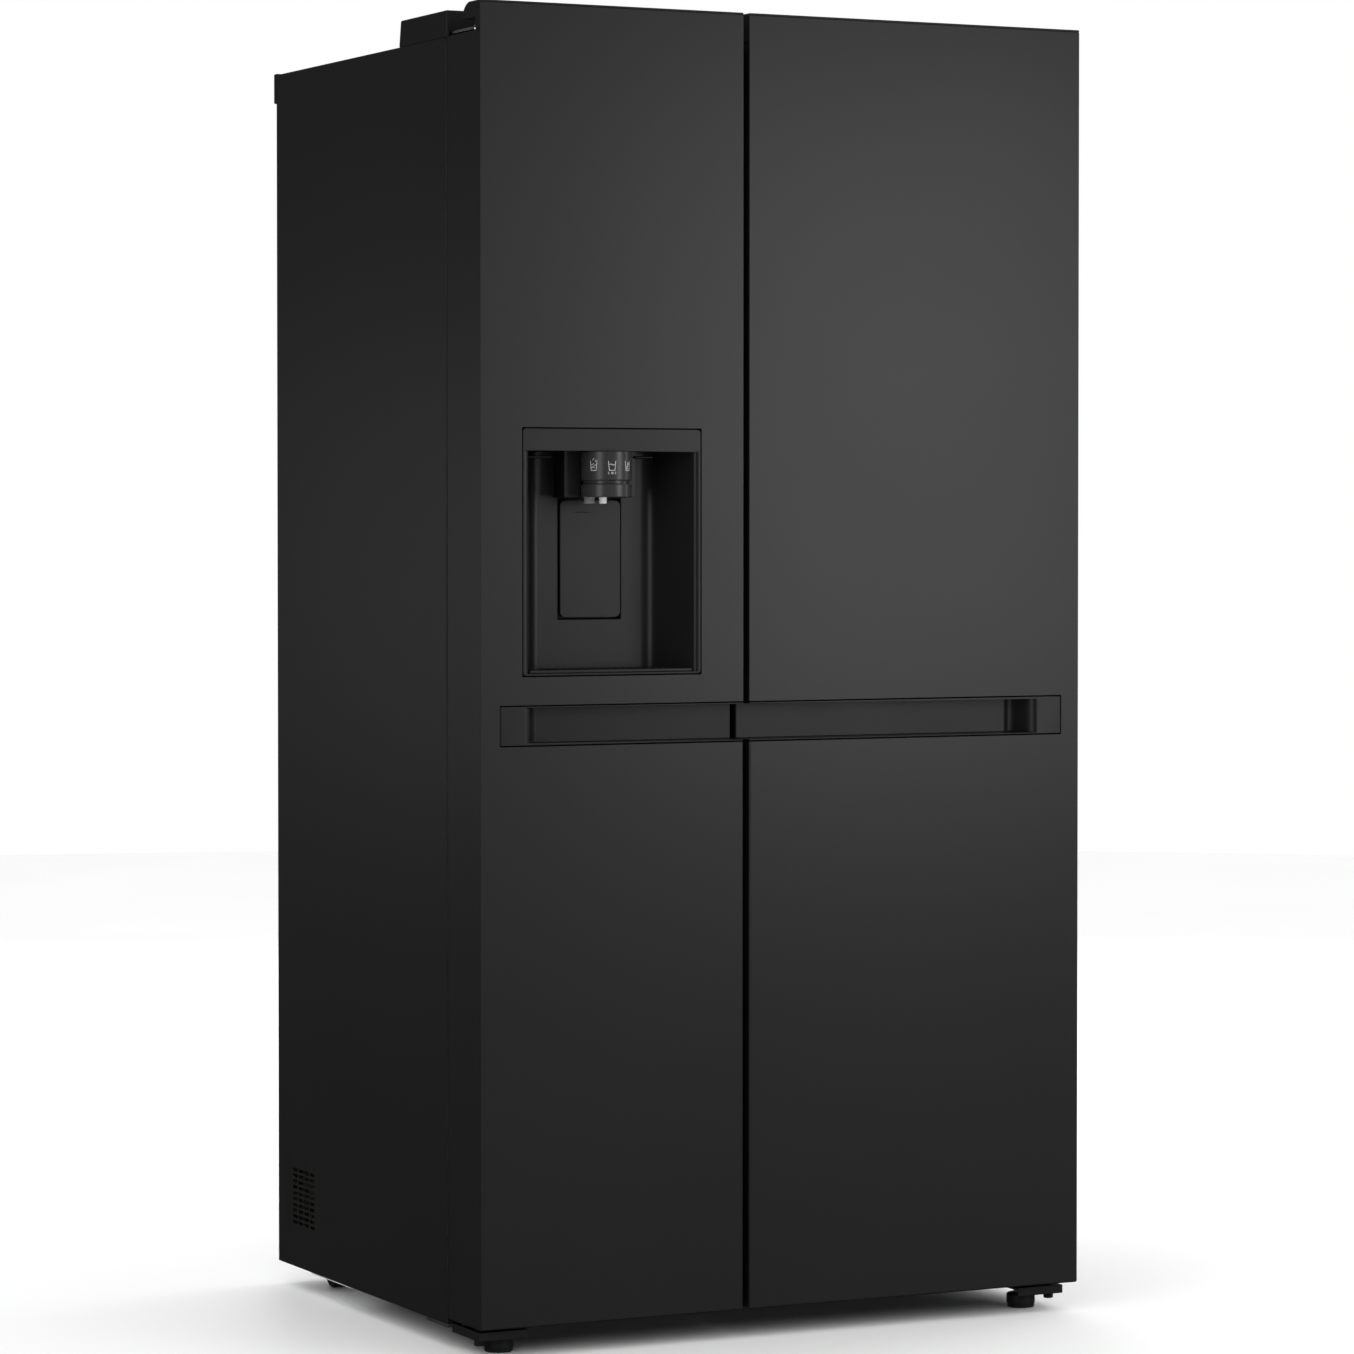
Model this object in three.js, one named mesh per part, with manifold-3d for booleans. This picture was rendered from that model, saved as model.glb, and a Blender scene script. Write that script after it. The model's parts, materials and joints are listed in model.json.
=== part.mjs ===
// Side-by-side refrigerator and freezer with an ice and water dispenser in the freezer door.
// Millimetres, +Z up, the doors face -Y. The finished group stands on z = 0 with the middle of its
// bounding box on x = 0, y = 0. Inside the group, y is counted back from the doors' front plane.
import * as THREE from "three";
import { mergeVertices } from "three/addons/utils/BufferGeometryUtils.js";
import Module from "manifold-3d";

const wasm = await Module();
wasm.setup();

// ---------- driving dimensions ----------
const width = 913; // over the side panels
const depth = 735; // doors' front plane to the rear rail
const height = 1790; // floor to the top of the doors

const assemblyGap = 0.3; // between pieces that touch
const runningGap = 0.6; // around pieces that turn or slide
const sheet = 1; // steel panels
const linerWall = 2; // vacuum-formed plastic

// case
const capRise = 40; // the doors stand this much higher than the case
const caseBottom = 32;
const railProud = 11; // rear rail behind the rear panel
const railHeight = 43;
const sideWall = 48; // foam and panels at the sides
const topWall = 50;
const floorWall = 60;
const rearWall = 62;
const partitionWall = 60; // between the two compartments
const machineRoomDepth = 223;
const machineRoomTop = 215;
const machineRoomWall = 50; // foam between the machine room and the compartments
const stepLedge = 10; // the step's front stands this much further forward
const ventRows = 10; // slots low at the rear of both sides
const ventColumns = 4;
const ventRowPitch = 8.4;
const ventColumnPitch = 21.5;
const ventFromRear = 52;
const ventBottom = 93;
const ventLength = 18;
const ventHeight = 5;
const louvreColumns = 11; // slots of the machine room cover
const louvreRows = 5;
const louvreColumnPitch = 68;
const louvreRowPitch = 24;
const louvreBottom = 70;
const louvreLength = 50;
const louvreHeight = 7;
const railRise = 2; // rear rail above the case top
const beamDepth = 70; // front beam of the base
const beamDrop = 5;

// doors
const foamBehindNiche = 16; // the dispenser's niche sets how deep the doors are
const gasketSpace = 5.5; // between the doors' rear face and the case
const doorBottom = 39.5;
const freezerDoorWidth = 387.5;
const doorGap = 9;
const capDepth = 59; // the raised cap covers only the front of the door's top
const capCorner = 25; // radius of the cap's rear top edge
const capLip = 2.7; // plastic edge over the front panel
const shoulderRise = 1.3; // door top behind the cap, above the case top
const dykeDepth = 42; // raised ring of the door liner
const dykeWall = 14;
const dykeHingeClearance = 8;
const dykeFreeClearance = 22; // more at the free side, which swings through an arc
const gasketInset = 24;
const gasketWidth = 12;

// hinges
const pinInset = 18; // pin axis from the case side
const pinBack = 48; // pin axis behind the front plane
const pinRadius = 5;
const hingeArmHalf = 12;
const hingeArmThick = 4;
const hingeArmLift = 4; // arm above the case top
const hingeSlotFront = 16; // front wall of the cap ahead of the hinge slot
const hingeSlotHeight = 17;
const pinReach = 24; // pin inside the door
const hingeCoverWidth = 110;
const hingeCoverGap = 2; // hinge cover behind the doors' rear face
const hingeCoverLength = 162;
const hingeCoverHeight = 36;
const hingeCoverWall = 2.5;
const hingeCoverLean = 6;
const bracketReach = 26; // front edge of the lower bracket behind the front plane
const bracketWidth = 73;
const bracketTop = 33;
const bracketThick = 4;
const bracketSkirt = 12;
const bracketInset = 7.5; // from the case side
const bracketFold = 3;
const pinHeadRadius = 7;
const pinHeadBottom = 12;
const hingeFootLength = 74; // part of the upper hinge that is screwed to the case
const hingeFootWidth = 54;
const hingeFootBack = 16; // its front edge behind the cover's front

// feet and rollers
const footRadius = 20;
const footInset = 53.5; // axis from the case side
const footBack = 64;
const footHeight = 20;
const stemRadius = 5;
const stemRise = 5; // stem above the bracket
const footStep = 1; // the foot's lower disc is this much smaller
const footStepHeight = 5;
const footChamfer = 2;
const rollerRadius = 20;
const rollerWidth = 26;
const rollerInset = 62;
const rollerFromRear = 80;
const axleRadius = 4;
const wellClearance = 4; // round the rollers in the base
const earThick = 2;
const earHalf = 14;
const earBottom = 12;

// handle recess, shared by both doors
const recessBottom = 810;
const recessHeight = 52.5;
const recessDepth = 40;
const recessEnd = 28.5; // outer end from the case side
const recessRampStart = 36; // flush length at the outer end
const recessRamp = 34; // length of the curved ramp
const rampEase = 15.3; // reach of the curve's handles
const recessWall = 2;
const reveal = 1; // dark line around the inserts in the front panel

// dispenser
const dispenserAside = 1.6; // its middle left of the freezer door's middle
const dispenserWidth = 262.3;
const dispenserBottom = 902;
const dispenserHeight = 327.5;
const dispenserBand = 29.5; // flush strip along the top
const nicheDepth = 73;
const nicheFrontHalf = 123.5;
const nicheBackHalf = 88;
const nicheCorner = 12;
const nicheSill = 3;
const nicheLip = 5; // rounding of the niche's upright front edges
const housingWall = 3;
const dialRadius = 34;
const dialBack = 20; // dial axis behind the front plane
const dialHeight = 39;
const dialNeck = 4;
const spoutHeight = 17.3;
const mouthsBack = 14; // ice mouth and water nozzle behind the dial's axis
const mouthsDrop = 8.4;
const iceMouthRadius = 7.4;
const iceMouthAside = 18.5;
const nozzleRadius = 5.2;
const nozzleAside = 1.7;
const chuteHalf = 53;
const housingCorner = 5;
const chuteFront = 38;
const paddleWidth = 90;
const paddleHeight = 158;
const paddleThick = 3;
const paddleCorner = 8;
const paddleDrop = 65; // top of the paddle below the band
const paddlePivotDrop = 7;
const paddleTravel = 16; // depth of the recess behind the paddle
const paddleSideGap = 1.5;
const paddleEndGap = 2;
const paddleBarrel = 3;
const trayThick = 4.5;
const traySlots = 15;
const traySlotPitch = 11;
const traySlotWidth = 5;
const traySlotFront = 16;
const traySlotRear = 14; // from the niche's back
const trayFloor = 1.5;

// inside fittings
const shelfThick = 5;
const shelfRim = 12;
const shelfRimRise = 3;
const paneUnderRim = 4; // glass held in the rim at the sides
const shelfClearance = 27; // between the door bins and the shelves
const shelfRearGap = 12;
const coverStandoff = 36; // freezer rear cover ahead of the liner
const coverThick = 3;
const coverRows = 4;
const coverRowPitch = 330;
const coverFirstRow = 160;
const coverSlotHalf = 42;
const coverSlotHeight = 10;
const coverSlotAside = 70;
const shelfOverDrawer = 14;
const shelfPitch = 300;
const shelfCount = 3;
const drawerWall = 2.5;
const drawerFront = 6;
const drawerSideGap = 6;
const drawerFaceRise = 6; // front above the tub
const drawerRearGap = 50;
const stepGap = 4;
const pullInset = 70;
const pullDrop = 12;
const pullHeight = 22;
const pullDepth = 3;
const drawerOverFloor = 6;
const drawerUnderStep = 3; // lower drawers stand ahead of the machine room step
const drawerOverStep = 21;
const drawerHeight = 200; // upper drawers, above the step
const crisperHeight = 260;
const binWall = 2.5;
const binReach = 38; // bins stand this far behind the dyke
const binHeight = 110;
const freezerBins = [330, 560];
const fridgeBins = [330, 760, 1130];
const iceBinDrop = 110; // top of the ice bin below the ceiling
const iceBinHeight = 300;

// machine room
const compressorX = 205;
const compressorRadius = 68;
const compressorHeight = 150;
const compressorRound = 14;
const compressorDome = 32;
const compressorFootLength = 170;
const compressorFootDepth = 120;
const compressorFootThick = 9;
const fanX = -55; // open side of the condenser
const fanAxis = 88; // above the base
const fanRadius = 70;
const fanHub = 18;
const fanHubLength = 16;
const fanBlades = 5;
const bladeWidth = 34;
const bladeThick = 2;
const bladePitch = 0.5; // radians
const condenserLength = 110;
const condenserTall = 170;
const condenserHalf = 88;
const shroudLength = 24;
const shroudClearance = 4;
const motorRadius = 20;
const motorLength = 5;
const panInset = 8; // evaporation pan from the case side
const panWidth = 242;
const panFromRear = 106;
const panDepth = 147;
const panDrop = 5;
const panWall = 2;
const valveX = -274;
const valveBottom = 150;
const valveHeight = 40;
const valveHalf = 26;
const valveDepth = 40;
const solenoidHalf = 14;
const solenoidDepth = 20;
const inletRadius = 9;
const inletLength = 50;

// ---------- what follows from them ----------
const half = width / 2;
const caseTop = height - capRise;
const caseBack = depth - railProud;
const doorDepth = nicheDepth + paddleTravel + housingWall + foamBehindNiche;
const caseFront = doorDepth + gasketSpace;
const shoulder = caseTop + shoulderRise;
const hingeCoverFront = doorDepth + hingeCoverGap;
const shelfBack = doorDepth + dykeDepth + binReach + shelfClearance;
const gapMiddle = -half + freezerDoorWidth + doorGap / 2;
const inner = half - sheet - assemblyGap; // half width inside the side panels
const machineRoomFront = caseBack - machineRoomDepth;
const compartmentRear = caseBack - rearWall;
const stepTop = machineRoomTop + machineRoomWall;
const stepFront = machineRoomFront - machineRoomWall - stepLedge;
const floorTop = caseBottom + floorWall;
const ceiling = caseTop - topWall;
const freezerSides = [-half + sideWall, gapMiddle - partitionWall / 2];
const fridgeSides = [gapMiddle + partitionWall / 2, half - sideWall];
const dispenserMiddle = -half + freezerDoorWidth / 2 - dispenserAside;
const nicheSplay = (nicheFrontHalf - nicheBackHalf) / nicheDepth;
const nicheTop = dispenserBottom + dispenserHeight - dispenserBand;
const nicheBottom = dispenserBottom + nicheSill;
const machineFloor = caseBottom + 2 * sheet + assemblyGap;
const machineMiddle = caseBack - machineRoomDepth / 2;
const fanZ = machineFloor + fanAxis;
const iceBinBottom = ceiling - iceBinDrop - iceBinHeight;
const lowerDrawer = [floorTop + drawerOverFloor, stepTop - drawerUnderStep];
const drawerBase = stepTop + drawerOverStep;

// ---------- solids ----------
function solid(geometry) {
  const bare = geometry.clone();
  bare.deleteAttribute("normal");
  bare.deleteAttribute("uv");
  const merged = mergeVertices(bare, 1e-4);
  return new wasm.Manifold(
    new wasm.Mesh({
      numProp: 3,
      vertProperties: merged.attributes.position.array,
      triVerts: new Uint32Array(merged.index.array),
    }),
  );
}

// A block between two values on each axis.
function block(x, y, z) {
  const size = [x, y, z].map(([low, high]) => high - low);
  const middle = [x, y, z].map(([low, high]) => (low + high) / 2);
  return solid(new THREE.BoxGeometry(...size).translate(...middle));
}

// An outline in the x-y plane, raised between two heights.
function plate(shape, [low, high], curveSegments = 6) {
  const options = { depth: high - low, bevelEnabled: false, curveSegments };
  return solid(new THREE.ExtrudeGeometry(shape, options).translate(0, 0, low));
}

// An outline whose own axes are y and z, run along x between two values.
function bar(shape, [low, high], curveSegments = 6) {
  const options = { depth: high - low, bevelEnabled: false, curveSegments };
  const geometry = new THREE.ExtrudeGeometry(shape, options);
  geometry.rotateX(Math.PI / 2).rotateZ(Math.PI / 2).translate(low, 0, 0);
  return solid(geometry);
}

// A panel in the x-z plane with rounded corners, run along y.
function roundedPanel(x, y, z, radius) {
  const shape = roundedOutline(x, z, radius);
  const options = { depth: y[1] - y[0], bevelEnabled: false, curveSegments: 5 };
  const geometry = new THREE.ExtrudeGeometry(shape, options);
  return solid(geometry.rotateX(Math.PI / 2).translate(0, y[1], 0));
}

function roundedOutline([left, right], [bottom, top], radius) {
  const shape = new THREE.Shape();
  const turn = Math.PI / 2;
  shape.absarc(right - radius, bottom + radius, radius, -turn, 0);
  shape.absarc(right - radius, top - radius, radius, 0, turn);
  shape.absarc(left + radius, top - radius, radius, turn, 2 * turn);
  shape.absarc(left + radius, bottom + radius, radius, 2 * turn, 3 * turn);
  shape.closePath();
  return shape;
}

function upright(radius, x, y, [low, high], sides = 32) {
  const geometry = new THREE.CylinderGeometry(radius, radius, high - low, sides);
  return solid(geometry.rotateX(Math.PI / 2).translate(x, y, (low + high) / 2));
}

function crosswise(radius, [low, high], y, z, sides = 32) {
  const geometry = new THREE.CylinderGeometry(radius, radius, high - low, sides);
  return solid(geometry.rotateZ(Math.PI / 2).translate((low + high) / 2, y, z));
}

function outline(points) {
  return new THREE.Shape(points.map(([u, v]) => new THREE.Vector2(u, v)));
}

const ordered = (a, b) => (a < b ? [a, b] : [b, a]);
const grow = ([low, high], by) => [low - by, high + by];
const unite = (pieces) => pieces.reduce((whole, piece) => whole.add(piece));

// ---------- the scene graph ----------
const fridge = new THREE.Group();
const finishes = {
  blackSteel: { color: 0x2b2b2d, roughness: 0.45, metalness: 0.6 },
  blackPlastic: { color: 0x1a1a1b, roughness: 0.5, metalness: 0 },
  whitePlastic: { color: 0xe9ebec, roughness: 0.4, metalness: 0 },
  clearPlastic: { color: 0xdfe8ec, roughness: 0.15, metalness: 0 },
  zincSteel: { color: 0x9a9da0, roughness: 0.4, metalness: 0.8 },
  foam: { color: 0xd9c98f, roughness: 0.9, metalness: 0 },
  rubber: { color: 0x3a3a3c, roughness: 0.8, metalness: 0 },
  glass: { color: 0xbfd4d2, roughness: 0.05, metalness: 0 },
};

function add(name, piece, finish) {
  const { vertProperties, triVerts } = piece.getMesh();
  const geometry = new THREE.BufferGeometry();
  geometry.setAttribute("position", new THREE.BufferAttribute(vertProperties, 3));
  geometry.setIndex(new THREE.BufferAttribute(triVerts, 1));
  geometry.computeVertexNormals();
  const mesh = new THREE.Mesh(geometry, new THREE.MeshStandardMaterial(finishes[finish]));
  mesh.name = name;
  fridge.add(mesh);
}

// ---------- case ----------
// Side view of a compartment: the floor steps up over the machine room. `by` shrinks it all round.
function compartment([left, right], by, front) {
  const rear = compartmentRear - by;
  const profile = outline([
    [front, floorTop + by],
    [stepFront - by, floorTop + by],
    [stepFront - by, stepTop + by],
    [rear, stepTop + by],
    [rear, ceiling - by],
    [front, ceiling - by],
  ]);
  return bar(profile, [left + by, right - by]);
}

function insulationCore() {
  const low = caseBottom + 2 * sheet + assemblyGap;
  const high = caseTop - sheet - assemblyGap;
  const rear = caseBack - sheet - assemblyGap;
  const front = caseFront + sheet + assemblyGap;
  const profile = outline([
    [front, low],
    [machineRoomFront, low],
    [machineRoomFront, machineRoomTop],
    [rear, machineRoomTop],
    [rear, high],
    [front, high],
  ]);
  return [freezerSides, fridgeSides].reduce(
    (core, sides) => core.subtract(compartment(sides, 0, front - 1)),
    bar(profile, [-inner, inner]),
  );
}

function compartmentLiner(sides) {
  const front = caseFront + sheet + assemblyGap;
  const outer = compartment(sides, assemblyGap, front);
  return outer.subtract(compartment(sides, assemblyGap + linerWall, front - 1));
}

// A field of short slots, low at the rear of each side.
function sidePanel(side) {
  const outside = ordered(side * half, side * (half - sheet));
  const slots = [];
  for (let row = 0; row < ventRows; row++)
    for (let column = 0; column < ventColumns; column++) {
      const rear = caseBack - ventFromRear - column * ventColumnPitch;
      const bottom = ventBottom + row * ventRowPitch;
      slots.push(block(grow(outside, 1), [rear - ventLength, rear], [bottom, bottom + ventHeight]));
    }
  const panel = block(outside, [caseFront, caseBack], [caseBottom, caseTop]);
  return panel.subtract(unite(slots));
}

function frontFlange() {
  const plane = [caseFront, caseFront + sheet];
  const panel = block([-inner, inner], plane, [caseBottom, caseTop - sheet - assemblyGap]);
  return [freezerSides, fridgeSides].reduce(
    (flange, sides) => flange.subtract(block(sides, grow(plane, 1), [floorTop, ceiling])),
    panel,
  );
}

// The rear cover of the machine room, with rows of louvre slots.
function machineRoomCover() {
  const plane = [caseBack - sheet, caseBack];
  const slots = [];
  for (let column = 0; column < louvreColumns; column++)
    for (let row = 0; row < louvreRows; row++) {
      const bottom = louvreBottom + row * louvreRowPitch;
      const middle = (column - (louvreColumns - 1) / 2) * louvreColumnPitch;
      const length = grow([middle, middle], louvreLength / 2);
      slots.push(block(length, grow(plane, 1), [bottom, bottom + louvreHeight]));
    }
  const cover = block([-inner, inner], plane, [machineFloor, machineRoomTop]);
  return cover.subtract(unite(slots));
}

function baseFrame() {
  const front = caseFront + sheet + assemblyGap;
  const rollerBack = caseBack - rollerFromRear;
  const floor = [caseBottom, caseBottom + 2 * sheet];
  const beam = [caseBottom - beamDrop, floor[1]];
  let frame = block([-inner, inner], [front, caseBack - sheet - assemblyGap], floor);
  frame = frame.add(block([-inner, inner], [front, front + beamDepth], beam));
  for (const side of [-1, 1]) {
    const middle = side * (half - rollerInset);
    const well = grow([middle, middle], rollerWidth / 2 + runningGap);
    const around = grow([rollerBack, rollerBack], rollerRadius + wellClearance);
    frame = frame.subtract(block(well, around, grow(floor, 1)));
    const ear = grow([rollerBack, rollerBack], earHalf);
    for (const low of [well[0] - earThick, well[1]])
      frame = frame.add(block([low, low + earThick], ear, [earBottom, floor[1]]));
    const axle = grow(well, earThick / 2);
    frame = frame.add(crosswise(axleRadius, axle, rollerBack, rollerRadius, 20));
  }
  return frame;
}

add("left_side_panel", sidePanel(-1), "blackSteel");
add("right_side_panel", sidePanel(1), "blackSteel");
add(
  "top_panel",
  block([-inner, inner], [caseFront, caseBack], [caseTop - sheet, caseTop]),
  "blackSteel",
);
add(
  "rear_panel",
  block(
    [-inner, inner],
    [caseBack - sheet, caseBack],
    [machineRoomTop + assemblyGap, caseTop - sheet - assemblyGap],
  ),
  "zincSteel",
);
add("machine_room_cover", machineRoomCover(), "zincSteel");
add("base_frame", baseFrame(), "zincSteel");
add("insulation_core", insulationCore(), "foam");
add("freezer_liner", compartmentLiner(freezerSides), "whitePlastic");
add("fridge_liner", compartmentLiner(fridgeSides), "whitePlastic");
add("front_flange", frontFlange(), "blackSteel");
add(
  "rear_top_rail",
  block(
    [-half, half],
    [caseBack + assemblyGap, depth],
    [caseTop + railRise - railHeight, caseTop + railRise],
  ),
  "blackPlastic",
);

// ---------- hinges, feet and rollers ----------
const armBottom = caseTop + hingeArmLift;
const armTop = armBottom + hingeArmThick;

function hingeCover(side) {
  const outer = side * half;
  const far = side * (half - hingeCoverWidth);
  const rear = hingeCoverFront + hingeCoverLength;
  const low = caseTop + assemblyGap;
  const high = caseTop + hingeCoverHeight;
  const profile = (by) =>
    outline([
      [hingeCoverFront + by, low - (by ? 1 : 0)],
      [rear - by, low - (by ? 1 : 0)],
      [rear - hingeCoverLean - by, high - by],
      [hingeCoverFront + by, high - by],
    ]);
  const shell = bar(profile(0), ordered(outer, far));
  const hollow = bar(profile(hingeCoverWall), grow(ordered(outer, far), -hingeCoverWall));
  const pin = side * (half - pinInset);
  const mouth = block(
    grow([pin, pin], hingeArmHalf + 1),
    [hingeCoverFront - 1, hingeCoverFront + 10],
    [low - 1, armTop + 1],
  );
  return shell.subtract(hollow).subtract(mouth);
}

function topHinge(side) {
  const pin = side * (half - pinInset);
  const wall = side * (half - hingeCoverWall - 1);
  const low = caseTop + assemblyGap;
  const footplate = [hingeCoverFront + hingeFootBack, hingeCoverFront + hingeFootBack + hingeFootLength];
  return unite([
    block(grow([pin, pin], hingeArmHalf), [pinBack, footplate[0] + 4], [armBottom, armTop]),
    upright(hingeArmHalf, pin, pinBack, [armBottom, armTop]),
    block(ordered(wall, wall - side * hingeFootWidth), footplate, [low, armTop]),
    upright(pinRadius, pin, pinBack, [shoulder - pinReach, armTop + 4], 24),
  ]);
}

// The lower bracket carries the door's pin and the levelling foot.
function bottomHinge(side) {
  const pin = side * (half - pinInset);
  const foot = side * (half - footInset);
  const outer = side * (half - bracketInset);
  const span = ordered(outer, outer - side * bracketWidth);
  const low = bracketTop - bracketThick;
  const skirt = [bracketTop - bracketSkirt, low + 1];
  return unite([
    block(span, [bracketReach, caseFront - assemblyGap], [low, bracketTop]),
    block(span, [bracketReach, bracketReach + bracketFold], skirt),
    block(ordered(outer, outer - side * bracketFold), [bracketReach, caseFront - assemblyGap], skirt),
    upright(pinHeadRadius, pin, pinBack, [pinHeadBottom, low + 1], 6),
    upright(pinRadius, pin, pinBack, [low, doorBottom + pinReach], 24),
  ]).subtract(upright(stemRadius + runningGap, foot, footBack, [low - 1, bracketTop + 1]));
}

function levellingFoot(side) {
  const x = side * (half - footInset);
  const profile = [
    [0, 0],
    [footRadius - footStep, 0],
    [footRadius - footStep, footStepHeight],
    [footRadius, footStepHeight + footStep],
    [footRadius, footHeight - footChamfer],
    [footRadius - footChamfer, footHeight],
    [stemRadius, footHeight],
    [stemRadius, bracketTop + stemRise],
    [0, bracketTop + stemRise],
  ].map(([r, z]) => new THREE.Vector2(r, z));
  const geometry = new THREE.LatheGeometry(profile, 32).rotateX(Math.PI / 2);
  return solid(geometry.translate(x, footBack, 0));
}

function roller(side) {
  const middle = side * (half - rollerInset);
  const back = caseBack - rollerFromRear;
  const span = grow([middle, middle], rollerWidth / 2);
  const bore = crosswise(axleRadius + assemblyGap, grow(span, 1), back, rollerRadius, 20);
  return crosswise(rollerRadius, span, back, rollerRadius).subtract(bore);
}

for (const [name, side] of [
  ["left", -1],
  ["right", 1],
]) {
  add(`${name}_hinge_cover`, hingeCover(side), "blackPlastic");
  add(`${name}_top_hinge`, topHinge(side), "zincSteel");
  add(`${name}_bottom_hinge`, bottomHinge(side), "blackSteel");
  add(`${name}_foot`, levellingFoot(side), "blackPlastic");
  add(`${name}_roller`, roller(side), "blackPlastic");
}

// ---------- machine room ----------
// A welded steel pot on a flat foot plate.
function compressor() {
  const low = compressorFootThick - 1;
  const r = compressorRadius;
  const profile = [
    [0, low],
    [r - compressorRound, low],
    [r, low + compressorRound],
    [r, compressorHeight - compressorDome],
    [r - 0.15 * r, compressorHeight - 0.375 * compressorDome],
    [r / 2, compressorHeight - 0.06 * compressorDome],
    [0, compressorHeight],
  ].map(([radius, z]) => new THREE.Vector2(radius, z));
  const pot = new THREE.LatheGeometry(profile, 28).rotateX(Math.PI / 2);
  const foot = block(
    grow([compressorX, compressorX], compressorFootLength / 2),
    grow([machineMiddle, machineMiddle], compressorFootDepth / 2),
    [0, compressorFootThick],
  );
  return solid(pot.translate(compressorX, machineMiddle, 0)).add(foot).translate([0, 0, machineFloor]);
}

// The condenser block carries a shroud with a round fan opening and the fan's motor.
function condenser() {
  const body = [fanX - motorRadius - condenserLength, fanX - motorRadius];
  const tall = [machineFloor, machineFloor + condenserTall];
  const across = grow([machineMiddle, machineMiddle], condenserHalf);
  const fins = block(body, across, tall);
  const shroud = block([body[1] - 1, body[1] + shroudLength], across, tall);
  const mouth = [body[1], body[1] + shroudLength + 1];
  const opening = crosswise(fanRadius + shroudClearance, mouth, machineMiddle, fanZ);
  const motor = crosswise(motorRadius, [body[1] - 1, body[1] + motorLength], machineMiddle, fanZ);
  return fins.add(shroud.subtract(opening)).add(motor);
}

function condenserFan() {
  const low = fanX - motorRadius + motorLength + runningGap;
  const hub = crosswise(fanHub, [low, low + fanHubLength], machineMiddle, fanZ);
  const root = fanHub - shroudClearance;
  const blades = [];
  for (let blade = 0; blade < fanBlades; blade++) {
    const wing = new THREE.BoxGeometry(bladeThick, bladeWidth, fanRadius - root);
    wing.rotateZ(bladePitch).translate(0, 0, root + (fanRadius - root) / 2);
    wing.rotateX((blade * 2 * Math.PI) / fanBlades);
    blades.push(solid(wing.translate(low + 0.6 * fanHubLength, machineMiddle, fanZ)));
  }
  return unite([hub, ...blades]);
}

function evaporationPan() {
  const span = [-half + panInset, -half + panInset + panWidth];
  const back = [caseBack - panFromRear - panDepth, caseBack - panFromRear];
  const level = [caseBottom - panDrop, caseBottom - assemblyGap];
  const inside = [level[0] + 0.75 * panWall, level[1] + 1];
  return block(span, back, level).subtract(block(grow(span, -panWall), grow(back, -panWall), inside));
}

// Water inlet valve on the rear cover: a body, a solenoid and a threaded inlet.
function waterValve() {
  const wall = caseBack - sheet - assemblyGap;
  const front = wall - valveDepth;
  const z = [valveBottom, valveBottom + valveHeight];
  const inlet = new THREE.CylinderGeometry(inletRadius, inletRadius, inletLength, 24);
  const middle = (z[0] + z[1]) / 2;
  return unite([
    block(grow([valveX, valveX], valveHalf), [front, wall], z),
    block(
      grow([valveX, valveX], solenoidHalf),
      [front - solenoidDepth, front + 1],
      grow([middle, middle], solenoidHalf),
    ),
    solid(inlet.translate(valveX, front - inletRadius + 4, middle)),
  ]);
}

add("compressor", compressor(), "blackSteel");
add("condenser", condenser(), "zincSteel");
add("condenser_fan", condenserFan(), "blackPlastic");
add("evaporation_pan", evaporationPan(), "whitePlastic");
add("water_valve", waterValve(), "whitePlastic");

// ---------- compartments' fittings ----------
const linerFace = assemblyGap + linerWall; // inside face of a liner from the foam
const fitting = ([left, right]) => grow([left, right], -linerFace - 2 * assemblyGap);

function shelf(sides, bottom) {
  const behind = sides === freezerSides ? coverStandoff - 2 : 0;
  const rear = compartmentRear - linerFace - shelfRearGap - behind;
  const span = fitting(sides);
  const back = [shelfBack, rear];
  const paneSpan = grow(span, paneUnderRim - shelfRim);
  const paneBack = grow(back, paneUnderRim / 2 - shelfRim + paneUnderRim);
  const pane = block(paneSpan, paneBack, [bottom + 1, bottom + shelfThick]);
  const rim = block(span, back, [bottom, bottom + shelfThick + shelfRimRise]);
  const through = [bottom - 1, bottom + shelfThick + shelfRimRise + 1];
  const window = block(grow(span, -shelfRim), grow(back, -shelfRim - 2), through);
  return rim.subtract(window).add(pane);
}

function drawer(sides, [low, high], rear) {
  const span = grow(fitting(sides), -drawerSideGap);
  const front = shelfBack;
  const inside = front + drawerFront;
  const tub = block(span, [inside - 1, rear], [low, high - drawerFaceRise]);
  const hollow = block(
    grow(span, -drawerWall),
    [inside, rear - drawerWall],
    [low + drawerWall, high],
  );
  const face = block(span, [front, inside], [low, high]);
  const pull = block(
    grow(span, -pullInset),
    [front - 1, front + pullDepth],
    [high - pullDrop - pullHeight, high - pullDrop],
  );
  return tub.subtract(hollow).add(face.subtract(pull));
}

function freezerRearCover() {
  const face = compartmentRear - linerFace - coverStandoff;
  const plane = [face, face + coverThick];
  const span = fitting(freezerSides);
  const panel = block(span, plane, [stepTop + linerFace + 1, ceiling - linerFace - 1]);
  const slots = [];
  for (let row = 0; row < coverRows; row++)
    for (const side of [-1, 1]) {
      const middle = (span[0] + span[1]) / 2 + side * coverSlotAside;
      const bottom = stepTop + coverFirstRow + row * coverRowPitch;
      const slot = [bottom, bottom + coverSlotHeight];
      slots.push(block(grow([middle, middle], coverSlotHalf), grow(plane, 1), slot));
    }
  return panel.subtract(unite(slots));
}

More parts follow.
